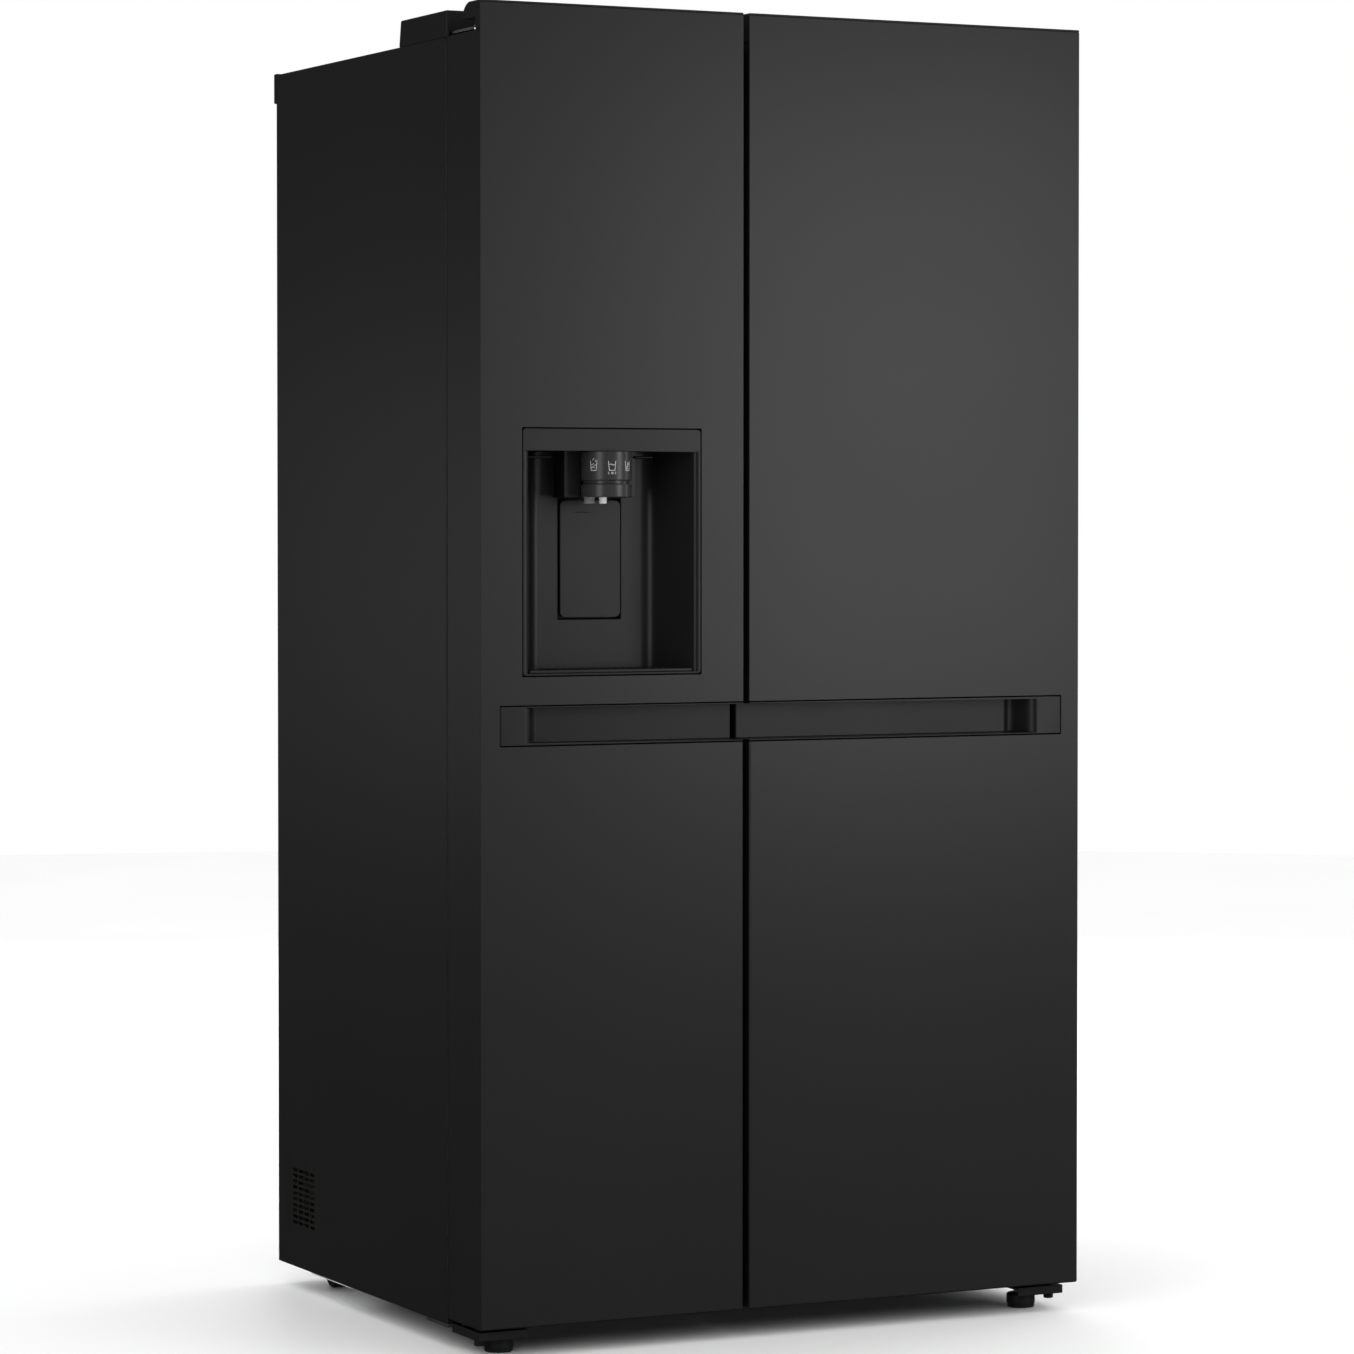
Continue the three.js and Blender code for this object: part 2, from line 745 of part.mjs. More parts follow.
add("freezer_rear_cover", freezerRearCover(), "whitePlastic");
for (let i = 0; i < shelfCount; i++) {
  const lowest = drawerBase + shelfOverDrawer + i * shelfPitch;
  add(`freezer_shelf_${i + 1}`, shelf(freezerSides, lowest + drawerHeight), "glass");
  add(`fridge_shelf_${i + 1}`, shelf(fridgeSides, lowest + crisperHeight), "glass");
}

const stepFace = stepFront - linerFace - stepGap;
const rearFace = compartmentRear - linerFace - drawerRearGap;
const upperDrawer = [drawerBase, drawerBase + drawerHeight];
const upperCrisper = [drawerBase, drawerBase + crisperHeight];
add("freezer_drawer_1", drawer(freezerSides, lowerDrawer, stepFace), "clearPlastic");
add("freezer_drawer_2", drawer(freezerSides, upperDrawer, rearFace), "clearPlastic");
add("crisper_drawer_1", drawer(fridgeSides, lowerDrawer, stepFace), "clearPlastic");
add("crisper_drawer_2", drawer(fridgeSides, upperCrisper, rearFace), "clearPlastic");

// ---------- doors ----------
const freezerDoor = {
  name: "freezer_door",
  side: -1,
  x: [-half, -half + freezerDoorWidth],
  sides: freezerSides,
};
const fridgeDoor = {
  name: "fridge_door",
  side: 1,
  x: [-half + freezerDoorWidth + doorGap, half],
  sides: fridgeSides,
};

const pinOf = (door) => door.side * (half - pinInset);
const recessLevel = [recessBottom, recessBottom + recessHeight];
const recessOuter = (door) => door.side * (half - recessEnd);
const freeEdge = (door) => (door.side < 0 ? door.x[1] : door.x[0]);
const recessSpan = (door) => ordered(recessOuter(door), freeEdge(door));
const dispenserX = grow([dispenserMiddle, dispenserMiddle], dispenserWidth / 2);
const dispenserZ = [dispenserBottom, dispenserBottom + dispenserHeight];
const housingDepth = nicheDepth + paddleTravel + housingWall;

// What the front panel and the foam leave free for the inserts; `by` is the gap around them.
function insertSpaces(door, by, recessTo, housingTo) {
  const past = freeEdge(door) - door.side * 2;
  const span = ordered(recessOuter(door) + door.side * by, past);
  const spaces = [block(span, [-1, recessTo], grow(recessLevel, by))];
  if (door === freezerDoor)
    spaces.push(block(grow(dispenserX, by), [-1, housingTo], grow(dispenserZ, by)));
  return unite(spaces);
}

function pinHoles(door) {
  const x = pinOf(door);
  const radius = pinRadius + assemblyGap;
  return upright(radius, x, pinBack, [doorBottom - 1, doorBottom + pinReach + 1], 24).add(
    upright(radius, x, pinBack, [shoulder - pinReach - 1, shoulder + 1], 24),
  );
}

// Painted sheet folded round the front, both sides, top and bottom.
function doorSkin(door) {
  const z = [doorBottom, shoulder];
  const tray = block(door.x, [0, doorDepth], z).subtract(
    block(grow(door.x, -sheet), [sheet, doorDepth + 1], grow(z, -sheet)),
  );
  const front = block(door.x, [0, sheet], [doorBottom, height - capLip - assemblyGap]);
  return tray
    .add(front)
    .subtract(insertSpaces(door, reveal, recessDepth + recessWall + 1, doorDepth / 2))
    .subtract(pinHoles(door));
}

function doorCore(door) {
  const by = sheet + assemblyGap;
  const body = block(
    grow(door.x, -by),
    [by, doorDepth - linerWall - assemblyGap],
    grow([doorBottom, shoulder], -by),
  );
  const spaces = insertSpaces(
    door,
    reveal,
    recessDepth + recessWall + assemblyGap,
    housingDepth + assemblyGap,
  );
  return body.subtract(spaces).subtract(pinHoles(door));
}

const dykeSpan = (door) => {
  const [left, right] = door.sides;
  return door.side < 0
    ? [left + dykeHingeClearance, right - dykeFreeClearance]
    : [left + dykeFreeClearance, right - dykeHingeClearance];
};
const dykeLevel = [floorTop + dykeHingeClearance, ceiling - dykeHingeClearance];

function doorLiner(door) {
  const by = sheet + assemblyGap;
  const sheetPart = block(
    grow(door.x, -by),
    [doorDepth - linerWall, doorDepth],
    grow([doorBottom, shoulder], -by),
  );
  const ring = block(dykeSpan(door), [doorDepth - 1, doorDepth + dykeDepth], dykeLevel).subtract(
    block(
      grow(dykeSpan(door), -dykeWall),
      [doorDepth - 2, doorDepth + dykeDepth + 1],
      grow(dykeLevel, -dykeWall),
    ),
  );
  return sheetPart.add(ring);
}

function gasket(door) {
  const plane = [doorDepth + assemblyGap, caseFront - assemblyGap];
  const x = grow(door.x, -gasketInset);
  const z = grow([doorBottom, shoulder], -gasketInset);
  const hole = block(grow(x, -gasketWidth), grow(plane, 1), grow(z, -gasketWidth));
  return block(x, plane, z).subtract(hole);
}

// Raised cap along the front of the door's top, open at its outer end for the hinge arm.
function topCap(door) {
  const front = sheet + assemblyGap;
  const profile = new THREE.Shape();
  profile.moveTo(front, shoulder + assemblyGap);
  profile.lineTo(capDepth, shoulder + assemblyGap);
  profile.lineTo(capDepth, height - capCorner);
  profile.absarc(capDepth - capCorner, height - capCorner, capCorner, 0, Math.PI / 2);
  profile.lineTo(0, height);
  profile.lineTo(0, height - capLip);
  profile.lineTo(front, height - capLip);
  profile.closePath();
  const pin = pinOf(door);
  const slot = block(
    ordered(door.side * (half + 1), pin - door.side * (hingeArmHalf + 2)),
    [hingeSlotFront, capDepth + 1],
    [shoulder, shoulder + hingeSlotHeight],
  );
  return bar(profile, door.x, 8).subtract(slot);
}

// The recess floor comes up in a soft curve to the front plane at its outer end.
function handleRecess(door) {
  const outer = recessOuter(door);
  const rampStart = outer - door.side * recessRampStart;
  const rampEnd = rampStart - door.side * recessRamp;
  const free = freeEdge(door);
  const past = free - door.side * 2;
  const shape = new THREE.Shape();
  const third = rampEase * door.side;
  shape.moveTo(rampStart, -1);
  shape.lineTo(rampStart, 0);
  shape.bezierCurveTo(rampStart - third, 0, rampEnd + third, recessDepth, rampEnd, recessDepth);
  shape.lineTo(past, recessDepth);
  shape.lineTo(past, -1);
  shape.closePath();
  const level = grow(recessLevel, -assemblyGap);
  const insert = block(ordered(outer, free), [0, recessDepth + recessWall], level);
  return insert.subtract(plate(shape, grow(level, -recessWall), 10));
}

function doorBin(door, bottom, tall) {
  const span = grow(dykeSpan(door), -dykeWall - assemblyGap);
  const back = [doorDepth + assemblyGap, doorDepth + dykeDepth + binReach];
  const level = [bottom, bottom + tall];
  const hollow = block(grow(span, -binWall), grow(back, -binWall), [bottom + binWall, level[1] + 1]);
  return block(span, back, level).subtract(hollow);
}

for (const [door, bins] of [
  [freezerDoor, freezerBins],
  [fridgeDoor, fridgeBins],
]) {
  add(`${door.name}_skin`, doorSkin(door), "blackSteel");
  add(`${door.name}_core`, doorCore(door), "foam");
  add(`${door.name}_liner`, doorLiner(door), "whitePlastic");
  add(`${door.name}_gasket`, gasket(door), "rubber");
  add(`${door.name}_cap`, topCap(door), "blackPlastic");
  add(`${door.name}_handle`, handleRecess(door), "blackPlastic");
  bins.forEach((z, i) =>
    add(`${door.name}_bin_${i + 1}`, doorBin(door, z, binHeight), "clearPlastic"),
  );
}
add("ice_bin", doorBin(freezerDoor, iceBinBottom, iceBinHeight), "whitePlastic");

// ---------- dispenser ----------
// Plan of the niche: splayed side walls and rounded rear corners. `by` shrinks it all round.
function nichePlan(by, front) {
  const m = dispenserMiddle;
  const rear = nicheDepth - by;
  const halfAt = (y) => nicheFrontHalf - by - nicheSplay * y;
  const c = nicheCorner;
  const shape = new THREE.Shape();
  shape.moveTo(m - halfAt(front), front);
  shape.lineTo(m + halfAt(front), front);
  shape.lineTo(m + halfAt(rear - c), rear - c);
  shape.quadraticCurveTo(m + halfAt(rear), rear, m + halfAt(rear) - c, rear);
  shape.lineTo(m - halfAt(rear) + c, rear);
  shape.quadraticCurveTo(m - halfAt(rear), rear, m - halfAt(rear - c), rear - c);
  shape.closePath();
  return shape;
}

// Plan of what the rounding takes off the niche's front edges.
function lipPlan() {
  const m = dispenserMiddle;
  const wide = nicheFrontHalf + nicheLip;
  const narrow = nicheFrontHalf - nicheSplay * nicheLip;
  const shape = new THREE.Shape();
  shape.moveTo(m - wide, -1);
  shape.lineTo(m + wide, -1);
  shape.lineTo(m + wide, 0);
  shape.quadraticCurveTo(m + nicheFrontHalf, 0, m + narrow, nicheLip);
  shape.lineTo(m - narrow, nicheLip);
  shape.quadraticCurveTo(m - nicheFrontHalf, 0, m - wide, 0);
  shape.closePath();
  return shape;
}

const dialTop = nicheTop - runningGap;
const dialBottom = dialTop - dialHeight;
const spoutTop = dialBottom - dialNeck - runningGap;
const spoutBottom = spoutTop - spoutHeight;
const paddleTop = nicheTop - paddleDrop;
const paddleX = grow([dispenserMiddle, dispenserMiddle], paddleWidth / 2);
const paddleZ = [paddleTop - paddleHeight, paddleTop];

function dispenserHousing() {
  const m = dispenserMiddle;
  const body = roundedPanel(dispenserX, [0, housingDepth], dispenserZ, housingCorner);
  const chute = block(
    grow([m, m], chuteHalf),
    [chuteFront, nicheDepth + 1],
    [spoutBottom, nicheTop + 1],
  ).subtract(upright(dialRadius + runningGap, m, dialBack, [spoutBottom - 1, nicheTop]));
  const recess = block(
    grow(paddleX, paddleSideGap),
    [nicheDepth - 1, nicheDepth + paddleTravel],
    grow(paddleZ, paddleEndGap),
  );
  const level = [nicheBottom, nicheTop];
  const niche = plate(nichePlan(0, -1), level).add(plate(lipPlan(), level, 6));
  return body.subtract(niche).add(chute).subtract(recess);
}

function dispenserDial() {
  const m = dispenserMiddle;
  return upright(dialRadius, m, dialBack, [dialBottom, dialTop], 48).add(
    upright(dialRadius - 3, m, dialBack, [dialBottom - dialNeck, dialBottom + 1], 48),
  );
}

// Fixed ring under the dial, with the ice chute's mouth and the water nozzle.
function dispenserSpout() {
  const m = dispenserMiddle;
  const ring = upright(dialRadius, m, dialBack, [spoutBottom, spoutTop], 48);
  const back = dialBack + mouthsBack;
  const level = [spoutBottom - mouthsDrop, spoutBottom + 1];
  const mouth = upright(iceMouthRadius, m - iceMouthAside, back, level, 20);
  const nozzle = upright(nozzleRadius, m + nozzleAside, back, level, 20);
  return unite([ring, mouth, nozzle]);
}

function dispenserPaddle() {
  const front = nicheDepth - paddleThick;
  const face = roundedPanel(paddleX, [front, nicheDepth], paddleZ, paddleCorner);
  const pivot = paddleTop - paddlePivotDrop;
  const barrel = crosswise(paddleBarrel, paddleX, nicheDepth + 1, pivot, 16);
  return face.add(barrel);
}

function dripTray() {
  const tray = plate(nichePlan(2, 4), [nicheBottom + assemblyGap, nicheBottom + trayThick]);
  const back = [traySlotFront, nicheDepth - traySlotRear];
  const level = [nicheBottom + trayFloor, nicheBottom + 2 * trayThick];
  const slots = [];
  for (let i = 0; i < traySlots; i++) {
    const x = dispenserMiddle + (i - (traySlots - 1) / 2) * traySlotPitch;
    slots.push(block(grow([x, x], traySlotWidth / 2), back, level));
  }
  return tray.subtract(unite(slots));
}

add("dispenser_housing", dispenserHousing(), "blackPlastic");
add("dispenser_dial", dispenserDial(), "blackPlastic");
add("dispenser_spout", dispenserSpout(), "blackPlastic");
add("dispenser_paddle", dispenserPaddle(), "blackPlastic");
add("drip_tray", dripTray(), "blackPlastic");

// The dial stands a little ahead of the doors, so the box's middle is ahead of half the depth.
const dialProud = dialRadius - dialBack;
fridge.position.y = -(depth - dialProud) / 2;

export default fridge;
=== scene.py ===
"""A side-by-side refrigerator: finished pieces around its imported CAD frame."""

import json
import math

import bmesh
import bpy
from mathutils import Matrix, Vector

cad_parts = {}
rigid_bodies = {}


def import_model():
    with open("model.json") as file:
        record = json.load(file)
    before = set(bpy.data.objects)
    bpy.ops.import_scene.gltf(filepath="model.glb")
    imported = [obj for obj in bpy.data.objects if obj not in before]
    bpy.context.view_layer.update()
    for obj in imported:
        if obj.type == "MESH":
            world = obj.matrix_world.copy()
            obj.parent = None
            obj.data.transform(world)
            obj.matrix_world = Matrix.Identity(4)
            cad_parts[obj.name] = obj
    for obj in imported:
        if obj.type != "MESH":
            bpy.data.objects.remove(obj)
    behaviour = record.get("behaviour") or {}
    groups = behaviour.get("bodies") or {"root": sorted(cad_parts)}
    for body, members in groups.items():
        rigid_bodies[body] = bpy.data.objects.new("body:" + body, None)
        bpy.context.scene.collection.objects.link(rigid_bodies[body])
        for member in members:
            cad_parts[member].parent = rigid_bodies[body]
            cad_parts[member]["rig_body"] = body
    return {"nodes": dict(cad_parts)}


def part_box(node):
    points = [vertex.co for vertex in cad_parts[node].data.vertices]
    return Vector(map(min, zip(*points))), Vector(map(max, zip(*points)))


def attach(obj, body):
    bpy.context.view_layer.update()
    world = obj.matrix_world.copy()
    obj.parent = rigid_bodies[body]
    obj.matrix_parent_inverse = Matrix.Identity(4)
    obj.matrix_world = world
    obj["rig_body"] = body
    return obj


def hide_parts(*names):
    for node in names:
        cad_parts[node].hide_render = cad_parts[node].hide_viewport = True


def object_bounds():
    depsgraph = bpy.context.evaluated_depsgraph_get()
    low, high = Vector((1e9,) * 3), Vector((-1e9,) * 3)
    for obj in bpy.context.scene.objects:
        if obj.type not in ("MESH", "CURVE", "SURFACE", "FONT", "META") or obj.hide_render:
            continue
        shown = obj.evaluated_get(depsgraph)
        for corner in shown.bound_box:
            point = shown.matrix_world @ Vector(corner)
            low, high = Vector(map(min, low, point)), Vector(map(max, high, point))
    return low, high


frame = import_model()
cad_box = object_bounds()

bl_info = {
    "name": "Side-by-side refrigerator",
    "version": (1, 0, 0),
    "blender": (4, 5, 0),
    "location": "3D View > Sidebar > Refrigerator",
    "description": "Builds the finished pieces of a side-by-side refrigerator",
    "category": "Object",
}

MM = 0.001
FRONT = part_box("freezer_door_skin")[0].y  # the doors' front plane
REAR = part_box("rear_panel")[1].y
DOORS = ("freezer_door", "fridge_door")
ROOMS = ("freezer", "fridge")
SIDES = (("left", 1), ("right", -1))  # with the way that points inward along x
SHELVES = (1, 2, 3)
FOLD = 0.8 * MM  # rounding of folded zinc sheet
CREASE, SHARP = math.radians(28), math.radians(36)  # what is rounded, what is shaded sharp
FLAT = math.radians(0.6)  # faces that turn less are one face


def at(x, back, z):
    """A point in metres from millimetres: across, back from the doors' front plane, up."""
    return Vector((x * MM, FRONT + back * MM, z * MM))


# ---------- node trees ----------
class Number:
    """A node's output. Arithmetic on it adds Math nodes to its tree."""

    def __init__(self, tree, socket):
        self.tree, self.socket = tree, socket

    def _math(self, operation, first, second):
        values = {0: first, 1: second}
        return self.tree.node("ShaderNodeMath", {"operation": operation}, values)

    def __add__(self, other):
        return self._math("ADD", self, other)

    def __radd__(self, other):
        return self._math("ADD", other, self)

    def __sub__(self, other):
        return self._math("SUBTRACT", self, other)

    def __rsub__(self, other):
        return self._math("SUBTRACT", other, self)

    def __mul__(self, other):
        return self._math("MULTIPLY", self, other)

    def __rmul__(self, other):
        return self._math("MULTIPLY", other, self)

    def __pow__(self, other):
        return self._math("POWER", self, other)

    def at_least(self, other):
        return self._math("MAXIMUM", self, other)

    def at_most(self, other):
        return self._math("MINIMUM", self, other)


class Tree:
    """A node tree that is written as calls and expressions."""

    def __init__(self, tree):
        self.tree = tree

    def node(self, kind, settings=None, values=None, output=0):
        """Adds a node: its settings first, then the values or links of its sockets."""
        made = self.tree.nodes.new(kind)
        for name, value in (settings or {}).items():
            if name == "stops":
                ramp = made.color_ramp.elements
                while len(ramp) < len(value):
                    ramp.new(0.5)
                for stop, (place, level) in zip(ramp, value):
                    stop.position, stop.color = place, (level, level, level, 1)
            else:
                setattr(made, name, value)
        for name, value in (values or {}).items():
            if isinstance(value, Number):
                self.tree.links.new(value.socket, made.inputs[name])
            else:
                made.inputs[name].default_value = value
        return Number(self, made.outputs[output]) if len(made.outputs) else None


class Finish(Tree):
    """A procedural material that reads the piece's own coordinates."""

    def __init__(self, name):
        self.material = bpy.data.materials.new(name)
        self.material.use_nodes = True
        super().__init__(self.material.node_tree)
        self.tree.nodes.clear()
        self.place = self.node("ShaderNodeTexCoord", output="Object")

    def stretched(self, scale):
        return self.node("ShaderNodeMapping", {}, {"Vector": self.place, "Scale": scale})

    def noise(self, size, detail=2.0, place=None):
        """Clouds from 0 to 1 whose features are about `size` metres across."""
        values = {"Vector": place or self.place, "Scale": 1 / size, "Detail": detail}
        return self.node("ShaderNodeTexNoise", {}, values)

    def cells(self, size, output="Distance"):
        values = {"Vector": self.place, "Scale": 1 / size}
        return self.node("ShaderNodeTexVoronoi", {}, values, output)

    def blend(self, mask, first, second):
        values = {0: mask, 6: (*first, 1), 7: (*second, 1)}
        return self.node("ShaderNodeMix", {"data_type": "RGBA"}, values, 2)

    def surface(self, height=None, depth=0.0, **sockets):
        """Closes the material: socket names are written with underscores."""
        values = {name.replace("_", " "): value for name, value in sockets.items()}
        if height is not None:
            relief = {"Height": height, "Distance": depth, "Strength": 1.0}
            values["Normal"] = self.node("ShaderNodeBump", {}, relief)
        shader = self.node("ShaderNodeBsdfPrincipled", {}, values)
        self.node("ShaderNodeOutputMaterial", {}, {"Surface": shader})
        return self.material


def shade(colour, by):
    return tuple(min(1.0, part * by) for part in colour)


def paint(name, colour, roughness, coat):
    """Coil-coated steel: soft orange peel, faint cloudiness and a trace of dust."""
    finish = Finish(name)
    cloud = finish.noise(0.35, 3.0)
    peel, peel_depth = finish.noise(0.0016, 1.0), 0.00002
    dust = finish.noise(0.0007, 2.0) ** 6.0
    return finish.surface(
        peel, peel_depth,
        Base_Color=finish.blend(cloud, shade(colour, 0.85), shade(colour, 1.15)),
        Roughness=cloud * 0.06 + dust * 0.25 + (roughness - 0.03),
        Coat_Weight=coat, Coat_Roughness=0.25,
    )


def moulding(name, colour, roughness, grain=0.0006, depth=0.00003, **sockets):
    """Moulded plastic with spark-eroded grain and a soft flow mark."""
    finish = Finish(name)
    flow = finish.noise(0.12, 2.0)
    height = finish.cells(grain) * 0.6 + finish.noise(grain * 0.7, 2.0)
    return finish.surface(
        height, depth,
        Base_Color=finish.blend(flow, shade(colour, 0.88), shade(colour, 1.12)),
        Roughness=flow * 0.08 + finish.noise(grain * 2, 1.0) * 0.08 + (roughness - 0.08),
        **sockets,
    )


def clear(name, colour, roughness, index, weight):
    """Clear moulding or glass with faint waviness and handling marks."""
    finish = Finish(name)
    marks = finish.noise(0.02, 4.0)
    return finish.surface(
        finish.noise(0.03, 1.0), 0.0002,
        Base_Color=finish.blend(marks, shade(colour, 0.96), shade(colour, 1.02)),
        Roughness=marks ** 3.0 * 0.25 + roughness,
        Transmission_Weight=weight, IOR=index,
    )


def zinc(name, colour, roughness):
    """Galvanised sheet: crystals of slightly different brightness and rolling lines."""
    finish = Finish(name)
    crystal = finish.cells(0.009, "Color")
    lines = finish.noise(0.0009, 2.0, finish.stretched((0.04, 1.0, 1.0)))
    return finish.surface(
        lines + crystal * 0.4, 0.00002,
        Base_Color=finish.blend(crystal, shade(colour, 0.8), shade(colour, 1.15)),
        Roughness=crystal * 0.14 + lines * 0.1 + (roughness - 0.12), Metallic=1.0,
    )


def foam(name, colour, dark_ahead_of=-9.0):
    """Polyurethane foam with open pores; ahead of the given plane across y it is near-black."""
    finish = Finish(name)
    pores = finish.cells(0.0018)
    patch = finish.noise(0.05, 4.0)
    back = finish.node("ShaderNodeSeparateXYZ", {}, {0: finish.place}, "Y")
    bare = ((back - dark_ahead_of) * 2000.0).at_least(0.0).at_most(1.0)
    cut = finish.blend(pores * 0.7 + patch * 0.5, shade(colour, 0.55), colour)
    values = {0: bare, 6: (0.004, 0.004, 0.004, 1), 7: cut}
    return finish.surface(
        pores + patch * 0.5, 0.0006,
        Base_Color=finish.node("ShaderNodeMix", {"data_type": "RGBA"}, values, 2),
        Roughness=patch * 0.1 + 0.82,
    )


def polished(name, colour, roughness):
    """Plated or drawn metal with fine wiping marks."""
    finish = Finish(name)
    wipes = finish.noise(0.0012, 3.0, finish.stretched((1.0, 1.0, 0.15)))
    return finish.surface(
        wipes, 0.000005,
        Base_Color=finish.blend(wipes, shade(colour, 0.9), shade(colour, 1.08)),
        Roughness=wipes * 0.1 + roughness, Metallic=1.0,
    )


def pale_floor(name, colour):
    finish = Finish(name)
    mottle = finish.noise(0.6, 4.0)
    return finish.surface(
        finish.noise(0.004, 2.0), 0.0001,
        Base_Color=finish.blend(mottle, shade(colour, 0.985), colour),
        Roughness=mottle * 0.1 + 0.55,
    )


# ---------- geometry nodes ----------
def node_group(name, inputs):
    """An empty geometry tree with named inputs, and the function that reads them."""
    group = bpy.data.node_groups.new(name, "GeometryNodeTree")
    for label, kind in inputs:
        group.interface.new_socket(name=label, in_out="INPUT", socket_type="NodeSocket" + kind)
    group.interface.new_socket(
        name="Geometry", in_out="OUTPUT", socket_type="NodeSocketGeometry"
    )
    tree = Tree(group)
    source = group.nodes.new("NodeGroupInput")
    return tree, lambda label: Number(tree, source.outputs[label])


def end_group(tree, shape, material):
    whole = tree.node("GeometryNodeRealizeInstances", {}, {0: shape})
    coated = tree.node(
        "GeometryNodeSetMaterial", {}, {"Geometry": whole, "Material": material}
    )
    tree.node("NodeGroupOutput", {}, {"Geometry": coated})
    return tree.tree


def rows_group():
    """A part repeated over rows and columns, each with its own step."""
    tree, given = node_group(
        "part in rows",
        [("Part", "Object"), ("Columns", "Int"), ("Rows", "Int"), ("Column step", "Vector"),
         ("Row step", "Vector"), ("Start", "Vector"), ("Material", "Material")],
    )
    part = tree.node(
        "GeometryNodeObjectInfo", {"transform_space": "ORIGINAL"},
        {"Object": given("Part")}, "Geometry",
    )
    line = {"Count": given("Columns"), "Start Location": given("Start"),
            "Offset": given("Column step")}
    across = tree.node("GeometryNodeMeshLine", {"mode": "OFFSET"}, line)
    up = tree.node(
        "GeometryNodeMeshLine", {"mode": "OFFSET"},
        {"Count": given("Rows"), "Offset": given("Row step")},
    )
    lines = tree.node("GeometryNodeInstanceOnPoints", {}, {"Points": across, "Instance": up})
    points = tree.node("GeometryNodeRealizeInstances", {}, {0: lines})
    parts = tree.node("GeometryNodeInstanceOnPoints", {}, {"Points": points, "Instance": part})
    return end_group(tree, parts, given("Material"))


def frame_group():
    """A profile carried round an upright rectangle with rounded corners."""
    tree, given = node_group(
        "profile round a frame",
        [("Width", "Float"), ("Height", "Float"), ("Corner", "Float"), ("Centre", "Vector"),
         ("Profile", "Object"), ("Material", "Material")],
    )
    flat = tree.node(
        "GeometryNodeCurvePrimitiveQuadrilateral", {"mode": "RECTANGLE"},
        {"Width": given("Width"), "Height": given("Height")},
    )
    soft = tree.node(
        "GeometryNodeFilletCurve", {"mode": "POLY"},
        {"Curve": flat, "Count": 5, "Radius": given("Corner")},
    )
    standing = tree.node(
        "GeometryNodeTransform", {},
        {"Geometry": soft, "Translation": given("Centre"), "Rotation": (math.pi / 2, 0, 0)},
    )
    outline = tree.node(
        "GeometryNodeObjectInfo", {"transform_space": "ORIGINAL"},
        {"Object": given("Profile")}, "Geometry",
    )
    swept = tree.node(
        "GeometryNodeCurveToMesh", {}, {"Curve": standing, "Profile Curve": outline}
    )
    return end_group(tree, swept, given("Material"))


def linked(name, data):
    """A new object in the scene."""
    made = bpy.data.objects.new(name, data)
    bpy.context.scene.collection.objects.link(made)
    return made


def evaluated(holder):
    """The plain mesh that an object's modifiers make. The object is removed."""
    depsgraph = bpy.context.evaluated_depsgraph_get()
    mesh = bpy.data.meshes.new_from_object(holder.evaluated_get(depsgraph), depsgraph=depsgraph)
    bpy.data.objects.remove(holder)
    return mesh


def grown(group, values):
    """The plain mesh that a geometry tree makes from its named inputs."""
    holder = linked("holder", bpy.data.meshes.new("holder"))
    modifier = holder.modifiers.new("grow", "NODES")
    modifier.node_group = group
    for item in group.interface.items_tree:
        if item.in_out == "INPUT":
            modifier[item.identifier] = values[item.name]
    return evaluated(holder)


# ---------- mesh work ----------
def mesh_of(bm):
    mesh = bpy.data.meshes.new("mesh")
    bm.to_mesh(mesh)
    bm.free()
    return mesh


def cad_copy(*nodes):
    """A merged copy of CAD nodes with their flat faces made whole."""
    bm = bmesh.new()
    for node in nodes:
        bm.from_mesh(frame["nodes"][node].data)
    bmesh.ops.remove_doubles(bm, verts=bm.verts, dist=2e-5)
    whole_faces(bm)
    return bm


def sliced(bm, items, axis, place):
    """Cuts some of a mesh where one coordinate equals `place`."""
    spot, normal = Vector(), Vector()
    spot[axis], normal[axis] = place, 1
    return bmesh.ops.bisect_plane(bm, geom=items, plane_co=spot, plane_no=normal, dist=1e-6)


def whole_faces(bm):
    """Joins flat faces. One with holes is cut straight through the middle of each hole."""
    everything = {"verts": bm.verts, "edges": bm.edges, "angle_limit": FLAT}
    bmesh.ops.dissolve_limit(bm, **everything)
    for region in flat_regions(bm):
        axis, places = hole_cuts(region)
        for place in places:
            faces = [face for face in region if face.is_valid]
            parts = {edge for face in faces for edge in face.edges}
            ends = {vert for face in faces for vert in face.verts}
            cut = sliced(bm, [*faces, *parts, *ends], axis, place)
            new = [item for item in cut["geom"] if isinstance(item, bmesh.types.BMFace)]
            region = list(dict.fromkeys(face for face in faces + new if face.is_valid))
            for item in cut["geom_cut"]:
                if isinstance(item, bmesh.types.BMEdge):
                    item.seam = True
    bmesh.ops.dissolve_limit(bm, delimit={"SEAM"}, **everything)


def groups(items, near):
    """Splits items into groups that are joined through their neighbours."""
    found, seen = [], set()
    for first in items:
        if first in seen:
            continue
        group = [first]
        seen.add(first)
        for item in group:
            for other in near(item):
                if other not in seen:
                    seen.add(other)
                    group.append(other)
        found.append(group)
    return found


def flat_regions(bm):
    """Groups of faces in one plane that could not be joined, because they hold holes."""
    def near(face):
        return [other for edge in face.edges
                if len(edge.link_faces) == 2 and edge.calc_face_angle(9.0) < FLAT
                for other in edge.link_faces]
    return [region for region in groups(bm.faces, near) if len(region) > 1]


